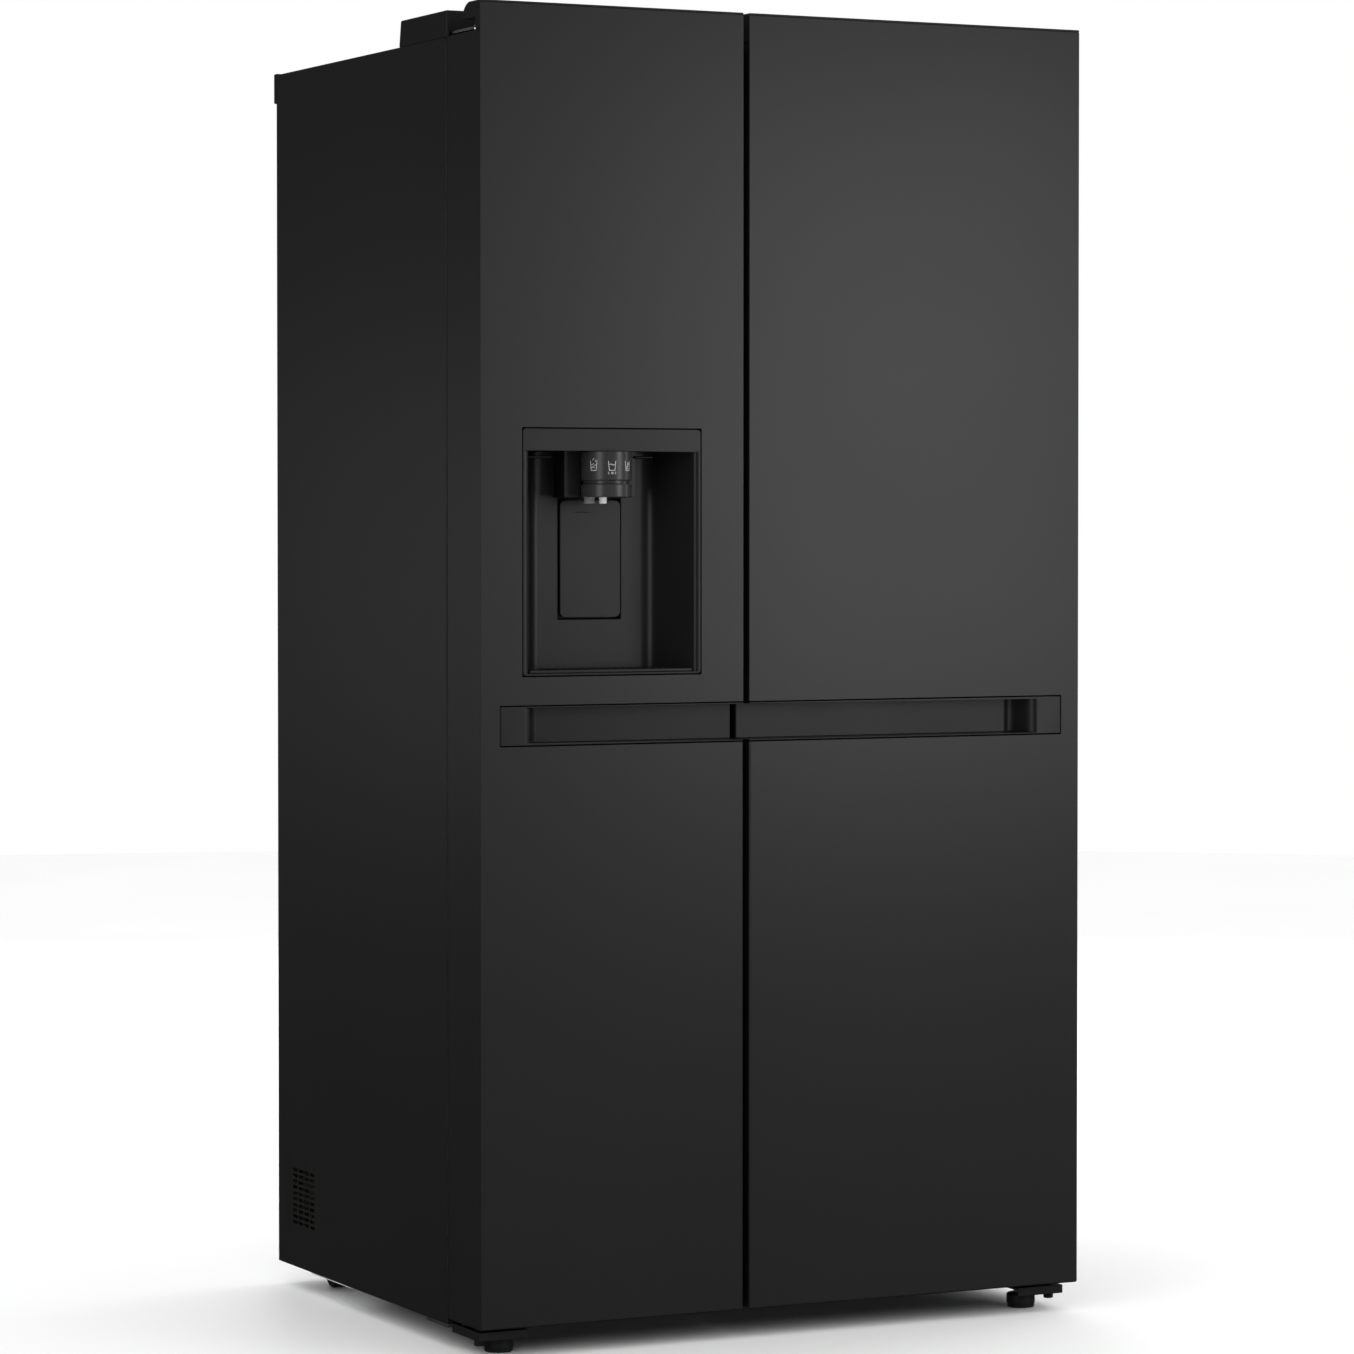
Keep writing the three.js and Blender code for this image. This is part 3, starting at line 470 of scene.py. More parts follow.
def hole_cuts(region):
    """The axis that needs the fewest cuts, and where they go."""
    inside = set(region)
    border = [edge for face in region for edge in face.edges
              if sum(near in inside for near in edge.link_faces) == 1]
    links = {}
    for edge in border:
        for vert in edge.verts:
            links.setdefault(vert, []).append(edge)
    loops = []
    for loop in groups(border, lambda edge: [x for vert in edge.verts for x in links[vert]]):
        places = [vert.co for edge in loop for vert in edge.verts]
        loops.append([Vector(pick(place[axis] for place in places) for axis in range(3))
                      for pick in (min, max)])
    loops.sort(key=lambda box: (box[1] - box[0]).length)
    holes = loops[:-1]
    normal = region[0].normal
    axes = sorted(range(3), key=lambda axis: abs(normal[axis]))[:2]
    options = [
        (axis, sorted({round((low[axis] + high[axis]) / 2, 5) for low, high in holes}))
        for axis in axes
    ]
    return min(options, key=lambda option: len(option[1]))


def room_beside(edge, other):
    """How far another edge of the same face lies beside this one; far off if it lies ahead."""
    start, end = (vert.co for vert in edge.verts)
    along = (end - start).normalized()
    best = 1.0
    for one, two in ((edge, other), (other, edge)):
        low, high = (vert.co for vert in two.verts)
        run = high - low
        for vert in one.verts:
            share = min(max((vert.co - low).dot(run) / run.length_squared, 0.0), 1.0)
            step = vert.co - low.lerp(high, share)
            if step.length < best and abs(step.dot(along)) < 0.5 * step.length:
                best = step.length
    return best


def eased(bm, width, segments=3, share=0.42):
    """Rounds every crease by `width`, or by a share of the room where there is less."""
    weight = bm.edges.layers.float.new("bevel_weight_edge")
    for edge in bm.edges:
        if len(edge.link_faces) != 2 or edge.calc_face_angle(0) < CREASE:
            continue
        along = (edge.verts[1].co - edge.verts[0].co).normalized()
        reach = width
        for face in edge.link_faces:
            for other in face.edges:
                if other is edge:
                    continue
                shared = set(edge.verts) & set(other.verts)
                if not shared:
                    reach = min(reach, share * room_beside(edge, other))
                    continue
                end = shared.pop()
                step = other.other_vert(end).co - end.co
                if abs(step.normalized().dot(along)) < 0.9:
                    reach = min(reach, share * step.length)
        edge[weight] = reach / width
    holder = linked("holder", mesh_of(bm))
    bevel = holder.modifiers.new("ease", "BEVEL")
    bevel.limit_method, bevel.width, bevel.segments = "WEIGHT", width, segments
    bevel.use_clamp_overlap = False
    return evaluated(holder)


def block(bm, low, high, radius=0.0008, segments=2):
    """A block between two corners, in metres, with rounded edges."""
    size = high - low
    place = Matrix.Translation((low + high) / 2) @ Matrix.Diagonal((*size, 1))
    corners = bmesh.ops.create_cube(bm, size=1, matrix=place)["verts"]
    edges = list({edge for corner in corners for edge in corner.link_edges})
    radius = min(radius, 0.45 * min(size))
    bmesh.ops.bevel(
        bm, geom=edges, offset=radius, segments=segments, profile=0.5, affect="EDGES"
    )


def blocks(*parts):
    """A mesh of blocks: two corners each, and a radius and segments that may be left out."""
    bm = bmesh.new()
    for low, high, *rounding in parts:
        block(bm, Vector(low), Vector(high), *rounding)
    return bm


def turned(bm, profile, centre, axis, steps):
    """A closed profile of (radius, height) in millimetres, turned about an axis."""
    turn = {"Z": Matrix.Identity(3), "X": Matrix.Rotation(math.pi / 2, 3, "Y"),
            "Y": Matrix.Rotation(-math.pi / 2, 3, "X")}[axis]
    rings = []
    for radius, height in profile:
        if radius < 1e-6:
            rings.append([bm.verts.new(centre + turn @ Vector((0, 0, height * MM)))] * steps)
            continue
        ring = []
        for step in range(steps):
            angle = 2 * math.pi * step / steps
            spot = Vector((radius * math.cos(angle), radius * math.sin(angle), height)) * MM
            ring.append(bm.verts.new(centre + turn @ spot))
        rings.append(ring)
    if profile[0][0] > 1e-6:
        rings.append(rings[0])
    for low, high in zip(rings, rings[1:]):
        for step in range(steps):
            ahead = (step + 1) % steps
            corners = [low[step], low[ahead], high[ahead], high[step]]
            bm.faces.new(list(dict.fromkeys(corners)))


def lathe(profile, centre, axis, steps):
    """A mesh of one turned profile, with its faces outwards."""
    bm = bmesh.new()
    turned(bm, profile, centre, axis, steps)
    return outward(bm)


def skin(bm, rings):
    """Faces between rings of vertices, with both ends closed."""
    for low, high in zip(rings, rings[1:]):
        for step in range(len(low)):
            ahead = (step + 1) % len(low)
            bm.faces.new([low[step], low[ahead], high[ahead], high[step]])
    bm.faces.new(rings[0][::-1])
    bm.faces.new(rings[-1])


def tube(bm, points, radius, sides=12):
    """A round tube along points, with closed ends."""
    rings, normal = [], None
    for index, point in enumerate(points):
        before = points[max(index - 1, 0)]
        after = points[min(index + 1, len(points) - 1)]
        along = (after - before).normalized()
        if normal is None:
            normal = along.orthogonal().normalized()
        normal = (normal - along * normal.dot(along)).normalized()
        side = along.cross(normal)
        rings.append([
            bm.verts.new(point + radius * (
                normal * math.cos(2 * math.pi * step / sides)
                + side * math.sin(2 * math.pi * step / sides)))
            for step in range(sides)
        ])
    skin(bm, rings)


def rounded_path(points, radius, steps=5):
    """The points with each inner corner swapped for an arc."""
    points = [Vector(point) for point in points]
    path = [points[0]]
    for before, corner, after in zip(points, points[1:], points[2:]):
        start = corner + (before - corner).normalized() * radius
        end = corner + (after - corner).normalized() * radius
        for step in range(steps + 1):
            t = step / steps
            path.append(start * (1 - t) ** 2 + corner * 2 * t * (1 - t) + end * t * t)
    return path + [points[-1]]


def prism(bm, outline, place, depth):
    """An outline of (u, v) metres stood in the x-z plane at `place`, run back by `depth`."""
    front = [bm.verts.new(place + Vector((u, 0, v))) for u, v in outline]
    back = [bm.verts.new(place + Vector((u, depth, v))) for u, v in outline]
    bm.faces.new(front)
    bm.faces.new(back[::-1])
    for index in range(len(outline)):
        ahead = (index + 1) % len(outline)
        bm.faces.new([front[ahead], front[index], back[index], back[ahead]])


def rounded_outline(width, height, radius, steps):
    """The (u, v) points of a rectangle with round corners, about its middle."""
    points = []
    for turn, (sx, sz) in enumerate(((1, -1), (1, 1), (-1, 1), (-1, -1))):
        for step in range(steps + 1):
            angle = math.pi / 2 * (turn - 1 + step / steps)
            points.append((
                sx * (width / 2 - radius) + radius * math.cos(angle),
                sz * (height / 2 - radius) + radius * math.sin(angle),
            ))
    return points


def outward(bm):
    """Merges what coincides and turns every face out."""
    bmesh.ops.remove_doubles(bm, verts=bm.verts, dist=1e-6)
    bmesh.ops.recalc_face_normals(bm, faces=bm.faces)
    return bm


def coated(mesh, finish):
    mesh.materials.clear()
    mesh.materials.append(bpy.data.materials[finish])
    mesh.polygons.foreach_set("material_index", [0] * len(mesh.polygons))


def piece(name, shape, body, finish, nodes=()):
    """Puts a finished shape in the scene, shades it evenly and rides it on its body."""
    mesh = mesh_of(shape) if isinstance(shape, bmesh.types.BMesh) else shape
    made = linked(name, mesh)
    coated(mesh, finish)
    mesh.polygons.foreach_set("use_smooth", [True] * len(mesh.polygons))
    mesh.set_sharp_from_angle(angle=SHARP)
    even = made.modifiers.new("even shading", "WEIGHTED_NORMAL")
    even.keep_sharp, even.weight = True, 60
    if nodes:
        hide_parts(*nodes)
    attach(made, body)
    return made


def eased_node(node, name, finish, width, segments=3):
    """A CAD node with rounded creases, which stands for it."""
    mesh = eased(cad_copy(node), width, segments)
    return piece(name, mesh, frame["nodes"][node]["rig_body"], finish, [node])


def coat(node, finish):
    """Gives a CAD node that is kept a better material."""
    coated(frame["nodes"][node].data, finish)


def in_rows(name, part, body, finish, start, columns=1, column_step=(0, 0, 0),
            rows=1, row_step=(0, 0, 0)):
    """A small part, made about the origin, repeated in rows by geometry nodes."""
    template = linked("template", mesh_of(outward(part)))
    mesh = grown(bpy.data.node_groups["part in rows"], {
        "Part": template, "Columns": columns, "Rows": rows, "Column step": column_step,
        "Row step": row_step, "Start": tuple(start),
        "Material": bpy.data.materials[finish],
    })
    bpy.data.objects.remove(template)
    return piece(name, mesh, body, finish)


def screw_head(facing, radius, rise=2.2):
    """A domed screw head with a recess, in millimetres, facing back or up."""
    profile = [(0, rise * 0.55), (radius * 0.22, rise * 0.55), (radius * 0.3, rise),
               (radius * 0.6, rise * 0.9), (radius * 0.88, rise * 0.55), (radius, 0),
               (radius, -0.5), (0, -0.5)]
    bm = lathe(profile, Vector(), "Z", 20)
    turn = {"+Y": Matrix.Rotation(-math.pi / 2, 3, "X"), "+Z": Matrix.Identity(3)}[facing]
    bmesh.ops.rotate(bm, verts=bm.verts, cent=(0, 0, 0), matrix=turn)
    return bm


# ---------- sizes and colours ----------
def length(name, description, default):
    return bpy.props.FloatProperty(
        name=name, description=description, default=default, min=0.0, unit="LENGTH",
        subtype="DISTANCE", precision=4,
    )


def tint(name, description, default):
    return bpy.props.FloatVectorProperty(
        name=name, description=description, default=default, size=3, min=0.0, max=1.0,
        subtype="COLOR",
    )


class FridgeSizes(bpy.types.PropertyGroup):
    """Sizes of what is finished in Blender."""

    door_edge: length("Door edge", "Rounding of the door panels", 0.0022)
    trim_edge: length("Trim edge", "Rounding of the plastic trim", 0.0012)
    sheet_edge: length("Sheet edge", "Rounding of folded sheet", 0.0012)
    liner_corner: length("Liner corner", "Rounding of the formed liners", 0.004)
    tub_edge: length("Tub edge", "Rounding of drawers and bins", 0.0022)
    vent_dish: length("Vent dish", "How deep the vent field is pressed in", 0.0016)
    vent_slope: length("Vent slope", "Width of the slope round the vent field", 0.008)
    screw_radius: length("Screw head", "Radius of a screw head", 0.0042)
    louvre_rise: length("Louvre", "How far a louvre stands out", 0.0035)
    slat_width: length("Slat", "Width of a drip tray slat", 0.0026)
    fin_pitch: length("Fin pitch", "Distance between condenser fins", 0.004)
    mark_line: length("Mark line", "Line width of the dial's symbols", 0.0008)


class FridgeColours(bpy.types.PropertyGroup):
    """Colours of the finishes."""

    black_steel: tint("Black steel", "Coated outer panels", (0.0062, 0.0062, 0.0064))
    black_trim: tint("Black trim", "Moulded outer trim", (0.0062, 0.0062, 0.0064))
    black_parts: tint("Black parts", "Feet, rollers and small parts", (0.008, 0.008, 0.0083))
    white_liner: tint("White liner", "Inner liners and fittings", (0.78, 0.79, 0.80))
    clear_plastic: tint("Clear plastic", "Drawers and bins", (0.86, 0.92, 0.94))
    shelf_glass: tint("Shelf glass", "Glass shelves", (0.78, 0.93, 0.89))
    zinc_steel: tint("Zinc steel", "Rear and base sheet", (0.45, 0.46, 0.47))
    foam: tint("Foam", "Insulation", (0.74, 0.63, 0.33))
    seal: tint("Seal", "Door gaskets", (0.055, 0.055, 0.058))
    symbols: tint("Symbols", "Printed symbols on the dial", (0.42, 0.43, 0.44))
    floor: tint("Floor", "Studio floor", (0.86, 0.86, 0.86))


class FRIDGE_OT_finishes(bpy.types.Operator):
    """Mix the finishes and the repeating trees"""

    bl_idname = "fridge.finishes"
    bl_label = "Finishes"

    def execute(self, context):
        colours = context.scene.fridge_colours
        paint("coated steel", colours.black_steel, 0.4, 0.12)
        moulding("outer trim", colours.black_trim, 0.42)
        moulding("dispenser plastic", colours.black_trim, 0.36, 0.0005, 0.00002,
                 Specular_IOR_Level=0.41)
        # The dial and its fixed ring use the black trim made four times lighter. This is partly
        # their own dark grey and partly painted light, standing in for the highlights they catch.
        moulding("dial plastic", shade(colours.black_trim, 4.0), 0.27, 0.0005, 0.000008)
        moulding("grey parts", (0.17, 0.17, 0.17), 0.4, 0.0006, 0.00002)
        moulding("black parts", colours.black_parts, 0.5, 0.0009, 0.00006)
        moulding("white liner", colours.white_liner, 0.38, 0.0012, 0.00002)
        moulding("white fittings", colours.white_liner, 0.32, 0.0007, 0.00003)
        moulding("printed symbols", colours.symbols, 0.45, 0.0003, 0.00001)
        moulding("door seal", colours.seal, 0.62, 0.0004, 0.00006)
        moulding("lamp lens", shade(colours.white_liner, 1.15), 0.28, 0.0015, 0.0001,
                 Transmission_Weight=0.25)
        clear("clear plastic", colours.clear_plastic, 0.06, 1.5, 0.9)
        clear("shelf glass", colours.shelf_glass, 0.02, 1.52, 0.95)
        zinc("zinc steel", colours.zinc_steel, 0.42)
        foam("cut foam", colours.foam)
        foam("door foam", colours.foam, FRONT + 0.1)
        polished("bright plate", (0.82, 0.83, 0.84), 0.1)
        polished("copper pipe", (0.72, 0.36, 0.22), 0.22)
        pale_floor("pale floor", colours.floor)
        rows_group()
        frame_group()
        return {"FINISHED"}


class FRIDGE_OT_studio(bpy.types.Operator):
    """Set up the floor, the soft lights and the camera"""

    bl_idname = "fridge.studio"
    bl_label = "Studio"

    def execute(self, context):
        scene = context.scene
        floor_radius = 9.0
        bm = bmesh.new()
        bmesh.ops.create_circle(bm, cap_ends=True, segments=96, radius=floor_radius)
        bmesh.ops.translate(bm, verts=bm.verts, vec=(0, 0, cad_box[0].z))
        floor = linked("studio_floor", mesh_of(bm))
        floor.data.materials.append(bpy.data.materials["pale floor"])
        floor.visible_glossy = False

        world = bpy.data.worlds.new("studio")
        scene.world = world
        world.use_nodes = True
        tree = Tree(world.node_tree)
        tree.tree.nodes.clear()
        direction = tree.node("ShaderNodeTexCoord", output="Generated")
        window = tree.node(
            "ShaderNodeVectorMath", {"operation": "DOT_PRODUCT"},
            {0: direction, 1: Vector((0.55, -0.82, 0.16)).normalized()}, "Value",
        ).at_least(0.0) ** 5.0
        height = tree.node("ShaderNodeSeparateXYZ", {}, {0: direction}, "Z")
        sky = (height * 0.5 + 0.5).at_least(0.0)
        level = window * 0.23 + sky * 0.08 + 0.012
        seen = tree.node("ShaderNodeLightPath", output="Is Camera Ray")
        strength = seen + (1 - seen) * level
        lit = tree.node("ShaderNodeBackground", {}, {"Color": (1, 1, 1, 1), "Strength": strength})
        tree.node("ShaderNodeOutputWorld", {}, {"Surface": lit})

        # Name, place, what it points at, size, watts, and whether it shows in reflections.
        for name, place, aim, size, power, glossy in (
            ("overhead", (0, 0, 6.0), (0, 0, 0), (40.0, 40.0), 6600.0, False),
            ("front_softbox", (1.2, -2.3, 1.3), (0.15, -0.37, 1.25), (0.9, 1.3), 9.0, True),
            ("left_softbox", (-2.4, -1.8, 1.15), (-0.3, -0.35, 1.05), (1.0, 2.0), 11.0, True),
            ("right_strip", (2.6, -0.9, 1.3), (0.2, -0.35, 1.1), (0.3, 1.6), 3.0, True),
            ("side_strip", (-2.3, 2.9, 1.0), (-0.45, 0.0, 1.0), (0.8, 0.9), 1.2, True),
            ("right_fill", (4.2, 1.6, 1.8), (0.45, 0.1, 0.9), (2.0, 2.4), 34.0, True),
            ("rear_fill", (2.0, 5.0, 1.8), (0.0, 0.37, 0.9), (2.4, 2.4), 34.0, True),
        ):
            light = bpy.data.lights.new(name, "AREA")
            light.shape, light.size, light.size_y = "RECTANGLE", *size
            light.energy = power
            lamp = linked(name, light)
            lamp.location = place
            lamp.rotation_euler = (Vector(aim) - Vector(place)).to_track_quat("-Z", "Y").to_euler()
            lamp.visible_camera = False
            lamp.visible_glossy = glossy

        lens = bpy.data.cameras.new("camera")
        lens.sensor_width, lens.lens, lens.shift_y = 36.0, 126.389, -0.0369
        lens.clip_start, lens.clip_end = 0.1, 60.0
        lens.dof.use_dof = False
        down, round_left = 1.377, 26.318  # degrees
        camera = linked("camera", lens)
        camera.location = (-2.9905, -6.0649, 1.1178)
        camera.rotation_euler = (math.radians(90 - down), 0, math.radians(-round_left))
        scene.camera = camera
        scene.view_settings.view_transform = "Standard"
        scene.view_settings.look = "None"
        return {"FINISHED"}


class FRIDGE_OT_case(bpy.types.Operator):
    """Make the side panels with their pressed vent fields, the top and the rear rail"""

    bl_idname = "fridge.case"
    bl_label = "Case panels"

    def execute(self, context):
        sizes = context.scene.fridge_sizes
        field_low, field_high = at(0, 559, 73), at(0, 696, 197)
        slope = sizes.vent_slope
        for side, inward in SIDES:
            node = f"{side}_side_panel"
            bm = cad_copy(node)
            for axis in (1, 2):
                low, high = field_low[axis], field_high[axis]
                for place in (low, low + slope, high - slope, high):
                    sliced(bm, [*bm.verts, *bm.edges, *bm.faces], axis, place)
            for vert in bm.verts:
                inside = min(
                    vert.co.y - field_low.y, field_high.y - vert.co.y,
                    vert.co.z - field_low.z, field_high.z - vert.co.z,
                )
                vert.co.x += inward * sizes.vent_dish * min(max(inside / slope, 0.0), 1.0)
            whole_faces(bm)
            piece(f"{side}_panel", eased(bm, sizes.sheet_edge), "cabinet", "coated steel", [node])
        eased_node("top_panel", "case_top", "coated steel", sizes.sheet_edge)
        eased_node("rear_top_rail", "rear_rail", "outer trim", 0.0018)
        eased_node("front_flange", "case_front", "coated steel", 0.0005, 1)
        return {"FINISHED"}


class FRIDGE_OT_rear(bpy.types.Operator):
    """Make the rear panel with its pressed beads, the machine room cover and the screws"""

    bl_idname = "fridge.rear"
    bl_label = "Rear covers"

    def execute(self, context):
        sizes = context.scene.fridge_sizes
        eased_node("rear_panel", "rear_sheet", "zinc steel", FOLD, 2)
        eased_node("machine_room_cover", "rear_cover", "zinc steel", FOLD, 2)
        low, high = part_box("rear_panel")
        middle = (low.z + high.z) / 2
        end = (high.z - low.z) / 2 - 0.12
        bead = blocks(((-0.011, -0.0005, -end), (0.011, 0.0032, end), 0.0031, 4))
        in_rows("rear_beads", bead, "cabinet", "zinc steel",
                (-0.3, REAR, middle), 5, (0.15, 0, 0))
        rise = sizes.louvre_rise
        hood = blocks(
            ((-0.027, -0.0004, 0.0062), (0.027, rise, 0.0085), 0.0009),
            ((-0.027, rise - 0.0012, 0.0005), (0.027, rise, 0.0085), 0.0005),
        )
        in_rows("cover_louvres", hood, "cabinet", "zinc steel",
                (-0.34, REAR, 0.070), 11, (0.068, 0, 0), 5, (0, 0, 0.024))
        # Name, node, columns and rows of the screws, and how far in from the edges they are.
        for name, node, columns, rows, in_x, in_z in (
            ("rear_screws", "rear_panel", 2, 7, 0.012, 0.03),
            ("cover_screws", "machine_room_cover", 5, 2, 0.014, 0.012),
        ):
            low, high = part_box(node)
            across, up = high.x - low.x - 2 * in_x, high.z - low.z - 2 * in_z
            in_rows(
                name, screw_head("+Y", sizes.screw_radius / MM), "cabinet", "bright plate",
                (low.x + in_x, REAR, low.z + in_z),
                columns, (across / (columns - 1), 0, 0), rows, (0, 0, up / (rows - 1)),
            )
        return {"FINISHED"}


class FRIDGE_OT_base(bpy.types.Operator):
    """Make the base frame, the evaporation pan, the feet and the rollers"""

    bl_idname = "fridge.base"
    bl_label = "Base, feet and rollers"

    def execute(self, context):
        eased_node("base_frame", "base_tray", "zinc steel", FOLD, 2)
        eased_node("evaporation_pan", "defrost_pan", "white fittings", 0.0006, 2)
        nut_reach = 11
        for side, _ in SIDES:
            node = f"{side}_foot"
            low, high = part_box(node)
            centre = Vector((*((low + high) / 2).xy, low.z))
            profile = [(0, 0), (17.6, 0), (18.6, 0.6), (19, 1.6), (19, 4.6), (19.5, 5.6),
                       (20, 6.4), (20, 17.4), (19.4, 18.8), (18, 19.7), (12, 20), (5.6, 20)]
            for turn in range(14):
                profile += [(5.0, 20.4 + turn * 1.25), (4.5, 21.0 + turn * 1.25)]
            profile += [(4.2, high.z / MM), (0, high.z / MM)]
            piece(f"{side}_level_foot", lathe(profile, centre, "Z", 40), node, "black parts",
                  [node])
            hexagon = [(nut_reach * math.cos(math.radians(60 * k)),
                        nut_reach * math.sin(math.radians(60 * k))) for k in range(6)]
            bm = bmesh.new()
            skin(bm, [[bm.verts.new(centre + Vector((u, v, z)) * MM) for u, v in hexagon]
                      for z in (20.05, 24.6)])
            piece(f"{side}_foot_nut", eased(outward(bm), 0.0005, 2), node, "zinc steel")
        for side, _ in SIDES:
            node = f"{side}_roller"
            low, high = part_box(node)
            half = (high.x - low.x) / 2 / MM
            profile = [(4.35, -half), (9, -half), (9.6, -half + 1.4), (13.6, -half + 1.8),
                       (14.6, -half + 0.2), (18.4, -half), (19.7, -half + 1.2), (20, -half + 3)]
            whole = profile + [(r, -h) for r, h in reversed(profile)]
            piece(f"{side}_wheel", lathe(whole, (low + high) / 2, "X", 40), node, "black parts",
                  [node])
        return {"FINISHED"}


class FRIDGE_OT_hinges(bpy.types.Operator):
    """Make the hinge covers, the top hinges and the lower brackets"""

    bl_idname = "fridge.hinges"
    bl_label = "Hinges"

    def execute(self, context):
        for side, inward in SIDES:
            cover, bracket = f"{side}_hinge_cover", f"{side}_bottom_hinge"
            eased_node(cover, f"{side}_hinge_hood", "outer trim", 0.0024, 4)
            eased_node(f"{side}_top_hinge", f"{side}_upper_hinge", "bright plate", FOLD, 2)
            eased_node(bracket, f"{side}_lower_hinge", "coated steel", 0.0009, 3)
            low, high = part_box(cover)
            middle = (low + high) / 2
            in_rows(f"{side}_hood_screw", screw_head("+Z", 3.6, 1.8), "cabinet", "black parts",
                    (middle.x, middle.y + 0.03, high.z))
            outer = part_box(bracket)[0 if inward > 0 else 1].x + inward * 0.012
            in_rows(f"{side}_bracket_screws", screw_head("+Z", 5.0, 2.4), "cabinet", "zinc steel",
                    (outer, at(0, 94, 0).y, 0.033), 3, (inward * 0.022, 0, 0))
        return {"FINISHED"}


class FRIDGE_OT_machine_room(bpy.types.Operator):
    """Make the compressor, the condenser, its fan, the water valve and their pipes"""

    bl_idname = "fridge.machine_room"
    bl_label = "Machine room"

    def execute(self, context):
        sizes = context.scene.fridge_sizes
        eased_node("compressor", "sealed_compressor", "coated steel", 0.0025)
        eased_node("condenser", "condenser_block", "zinc steel", FOLD, 2)
        eased_node("condenser_fan", "fan_wheel", "black parts", 0.0006, 2)
        eased_node("water_valve", "inlet_valve", "white fittings", 0.001, 2)
        low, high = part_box("condenser")
        margin, finned = 0.006, 0.1
        tall = high.z - low.z - 2 * margin
        fin = blocks(((-0.0003, 0, 0), (0.0003, 0.004, tall), 0.0001, 1))
        in_rows(
            "condenser_fins", fin, "cabinet", "bright plate",
            (low.x + margin, high.y - 0.0005, low.z + margin),
            int(finned / sizes.fin_pitch), (sizes.fin_pitch, 0, 0),
        )
        condenser_end = high.x
        low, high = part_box("compressor")
        x, y, z = (low + high) / 2
        top = high.z + 0.02
        pipes = bmesh.new()
        suction = [(x - 0.06, y - 0.02, z + 0.02), (x - 0.1, y - 0.02, z + 0.02),
                   (x - 0.1, y - 0.07, z + 0.02), (x - 0.1, y - 0.07, top),
                   (x - 0.02, y - 0.07, top)]
        tube(pipes, rounded_path(suction, 0.018), 0.004)
        delivery = [(x - 0.055, y + 0.03, z), (x - 0.11, y + 0.03, z), (x - 0.11, y + 0.03, 0.06),
                    (condenser_end + 0.012, y + 0.03, 0.06)]
        tube(pipes, rounded_path(delivery, 0.014), 0.003)
        piece("refrigerant_pipes", outward(pipes), "cabinet", "copper pipe")
        grommet = bmesh.new()
        turned(grommet, [(3.5, 0), (9, 0), (9.5, 1), (9.5, 4), (7, 5), (7, 8), (9, 9), (8.6, 11),
                         (3.5, 11)], Vector(), "Z", 24)
        in_x, in_y = 0.016, 0.014
        in_rows(
            "compressor_grommets", grommet, "cabinet", "door seal",
            (low.x + in_x, low.y + in_y, low.z + 0.0088),
            2, (high.x - low.x - 2 * in_x, 0, 0), 2, (0, high.y - low.y - 2 * in_y, 0),
        )
        return {"FINISHED"}


class FRIDGE_OT_liners(bpy.types.Operator):
    """Make the formed liners, the foam, the cold air covers, the lamps and the ice maker"""

    bl_idname = "fridge.liners"
    bl_label = "Compartments"

    def execute(self, context):
        sizes = context.scene.fridge_sizes
        wall = 0.002
        coat("insulation_core", "cut foam")
        for room in ROOMS:
            eased_node(f"{room}_liner", f"{room}_tub", "white liner", sizes.liner_corner, 4)
            low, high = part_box(f"{room}_liner")
            # Runners pressed in the side walls carry the shelves.
            for side, inward in SIDES:
                x = low.x + wall if inward > 0 else high.x - wall
                ends = sorted((-0.0003 * inward, 0.0085 * inward))
                for index in SHELVES:
                    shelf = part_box(f"{room}_shelf_{index}")[0]
                    lug = blocks(((ends[0], 0, -0.006), (ends[1], 0.3, -0.0004), 0.0015))
                    in_rows(f"{room}_{side}_runner_{index}", lug, "cabinet", "white liner",
                            (x, shelf.y + 0.06, shelf.z - 0.0005))
            lens = blocks(((-0.06, -0.03, -0.012), (0.06, 0.03, 0.001), 0.005, 3))
            in_rows(f"{room}_lamp", lens, "cabinet", "lamp lens",
                    ((low.x + high.x) / 2, at(0, 190, 0).y, high.z - wall))
        eased_node("freezer_rear_cover", "freezer_cover", "white fittings", 0.001)
        low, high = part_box("freezer_rear_cover")
        for side, inward in SIDES:
            bar = blocks(((-0.0012, -0.0006, 0.0005), (0.0012, 0.002, 0.0095), 0.0004))
            in_rows(
                f"freezer_vent_bars_{side}", bar, "cabinet", "white fittings",
                ((low.x + high.x) / 2 - inward * 0.07 - 0.035, low.y + 0.0006, 0.425),
                8, (0.01, 0, 0), 4, (0, 0, 0.33),
            )

        low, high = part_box("fridge_liner")
        middle, rear = (low.x + high.x) / 2, high.y - wall
        duct = blocks(((middle - 0.075, rear - 0.010, 0.60),
                       (middle + 0.075, rear + 0.001, high.z - 0.03), 0.006, 4))
        piece("fridge_air_duct", duct, "cabinet", "white fittings")
        slot = blocks(((-0.028, -0.0016, -0.003), (0.028, 0.001, 0.003), 0.0012))
        in_rows("fridge_duct_vents", slot, "cabinet", "black parts",
                (middle, rear - 0.0098, 0.70), 4, (0, 0, 0.255), 3, (0, 0, 0.014))
        low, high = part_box("freezer_liner")
        left, right = low.x / MM + 30, high.x / MM - 30
        maker = blocks((at(left, 260, 1600), at(right, 470, 1690), 0.006, 3),
                       (at(left + 12, 254, 1614), at(right - 60, 262, 1676), 0.003, 2))
        piece("ice_maker", maker, "cabinet", "white fittings")
        return {"FINISHED"}


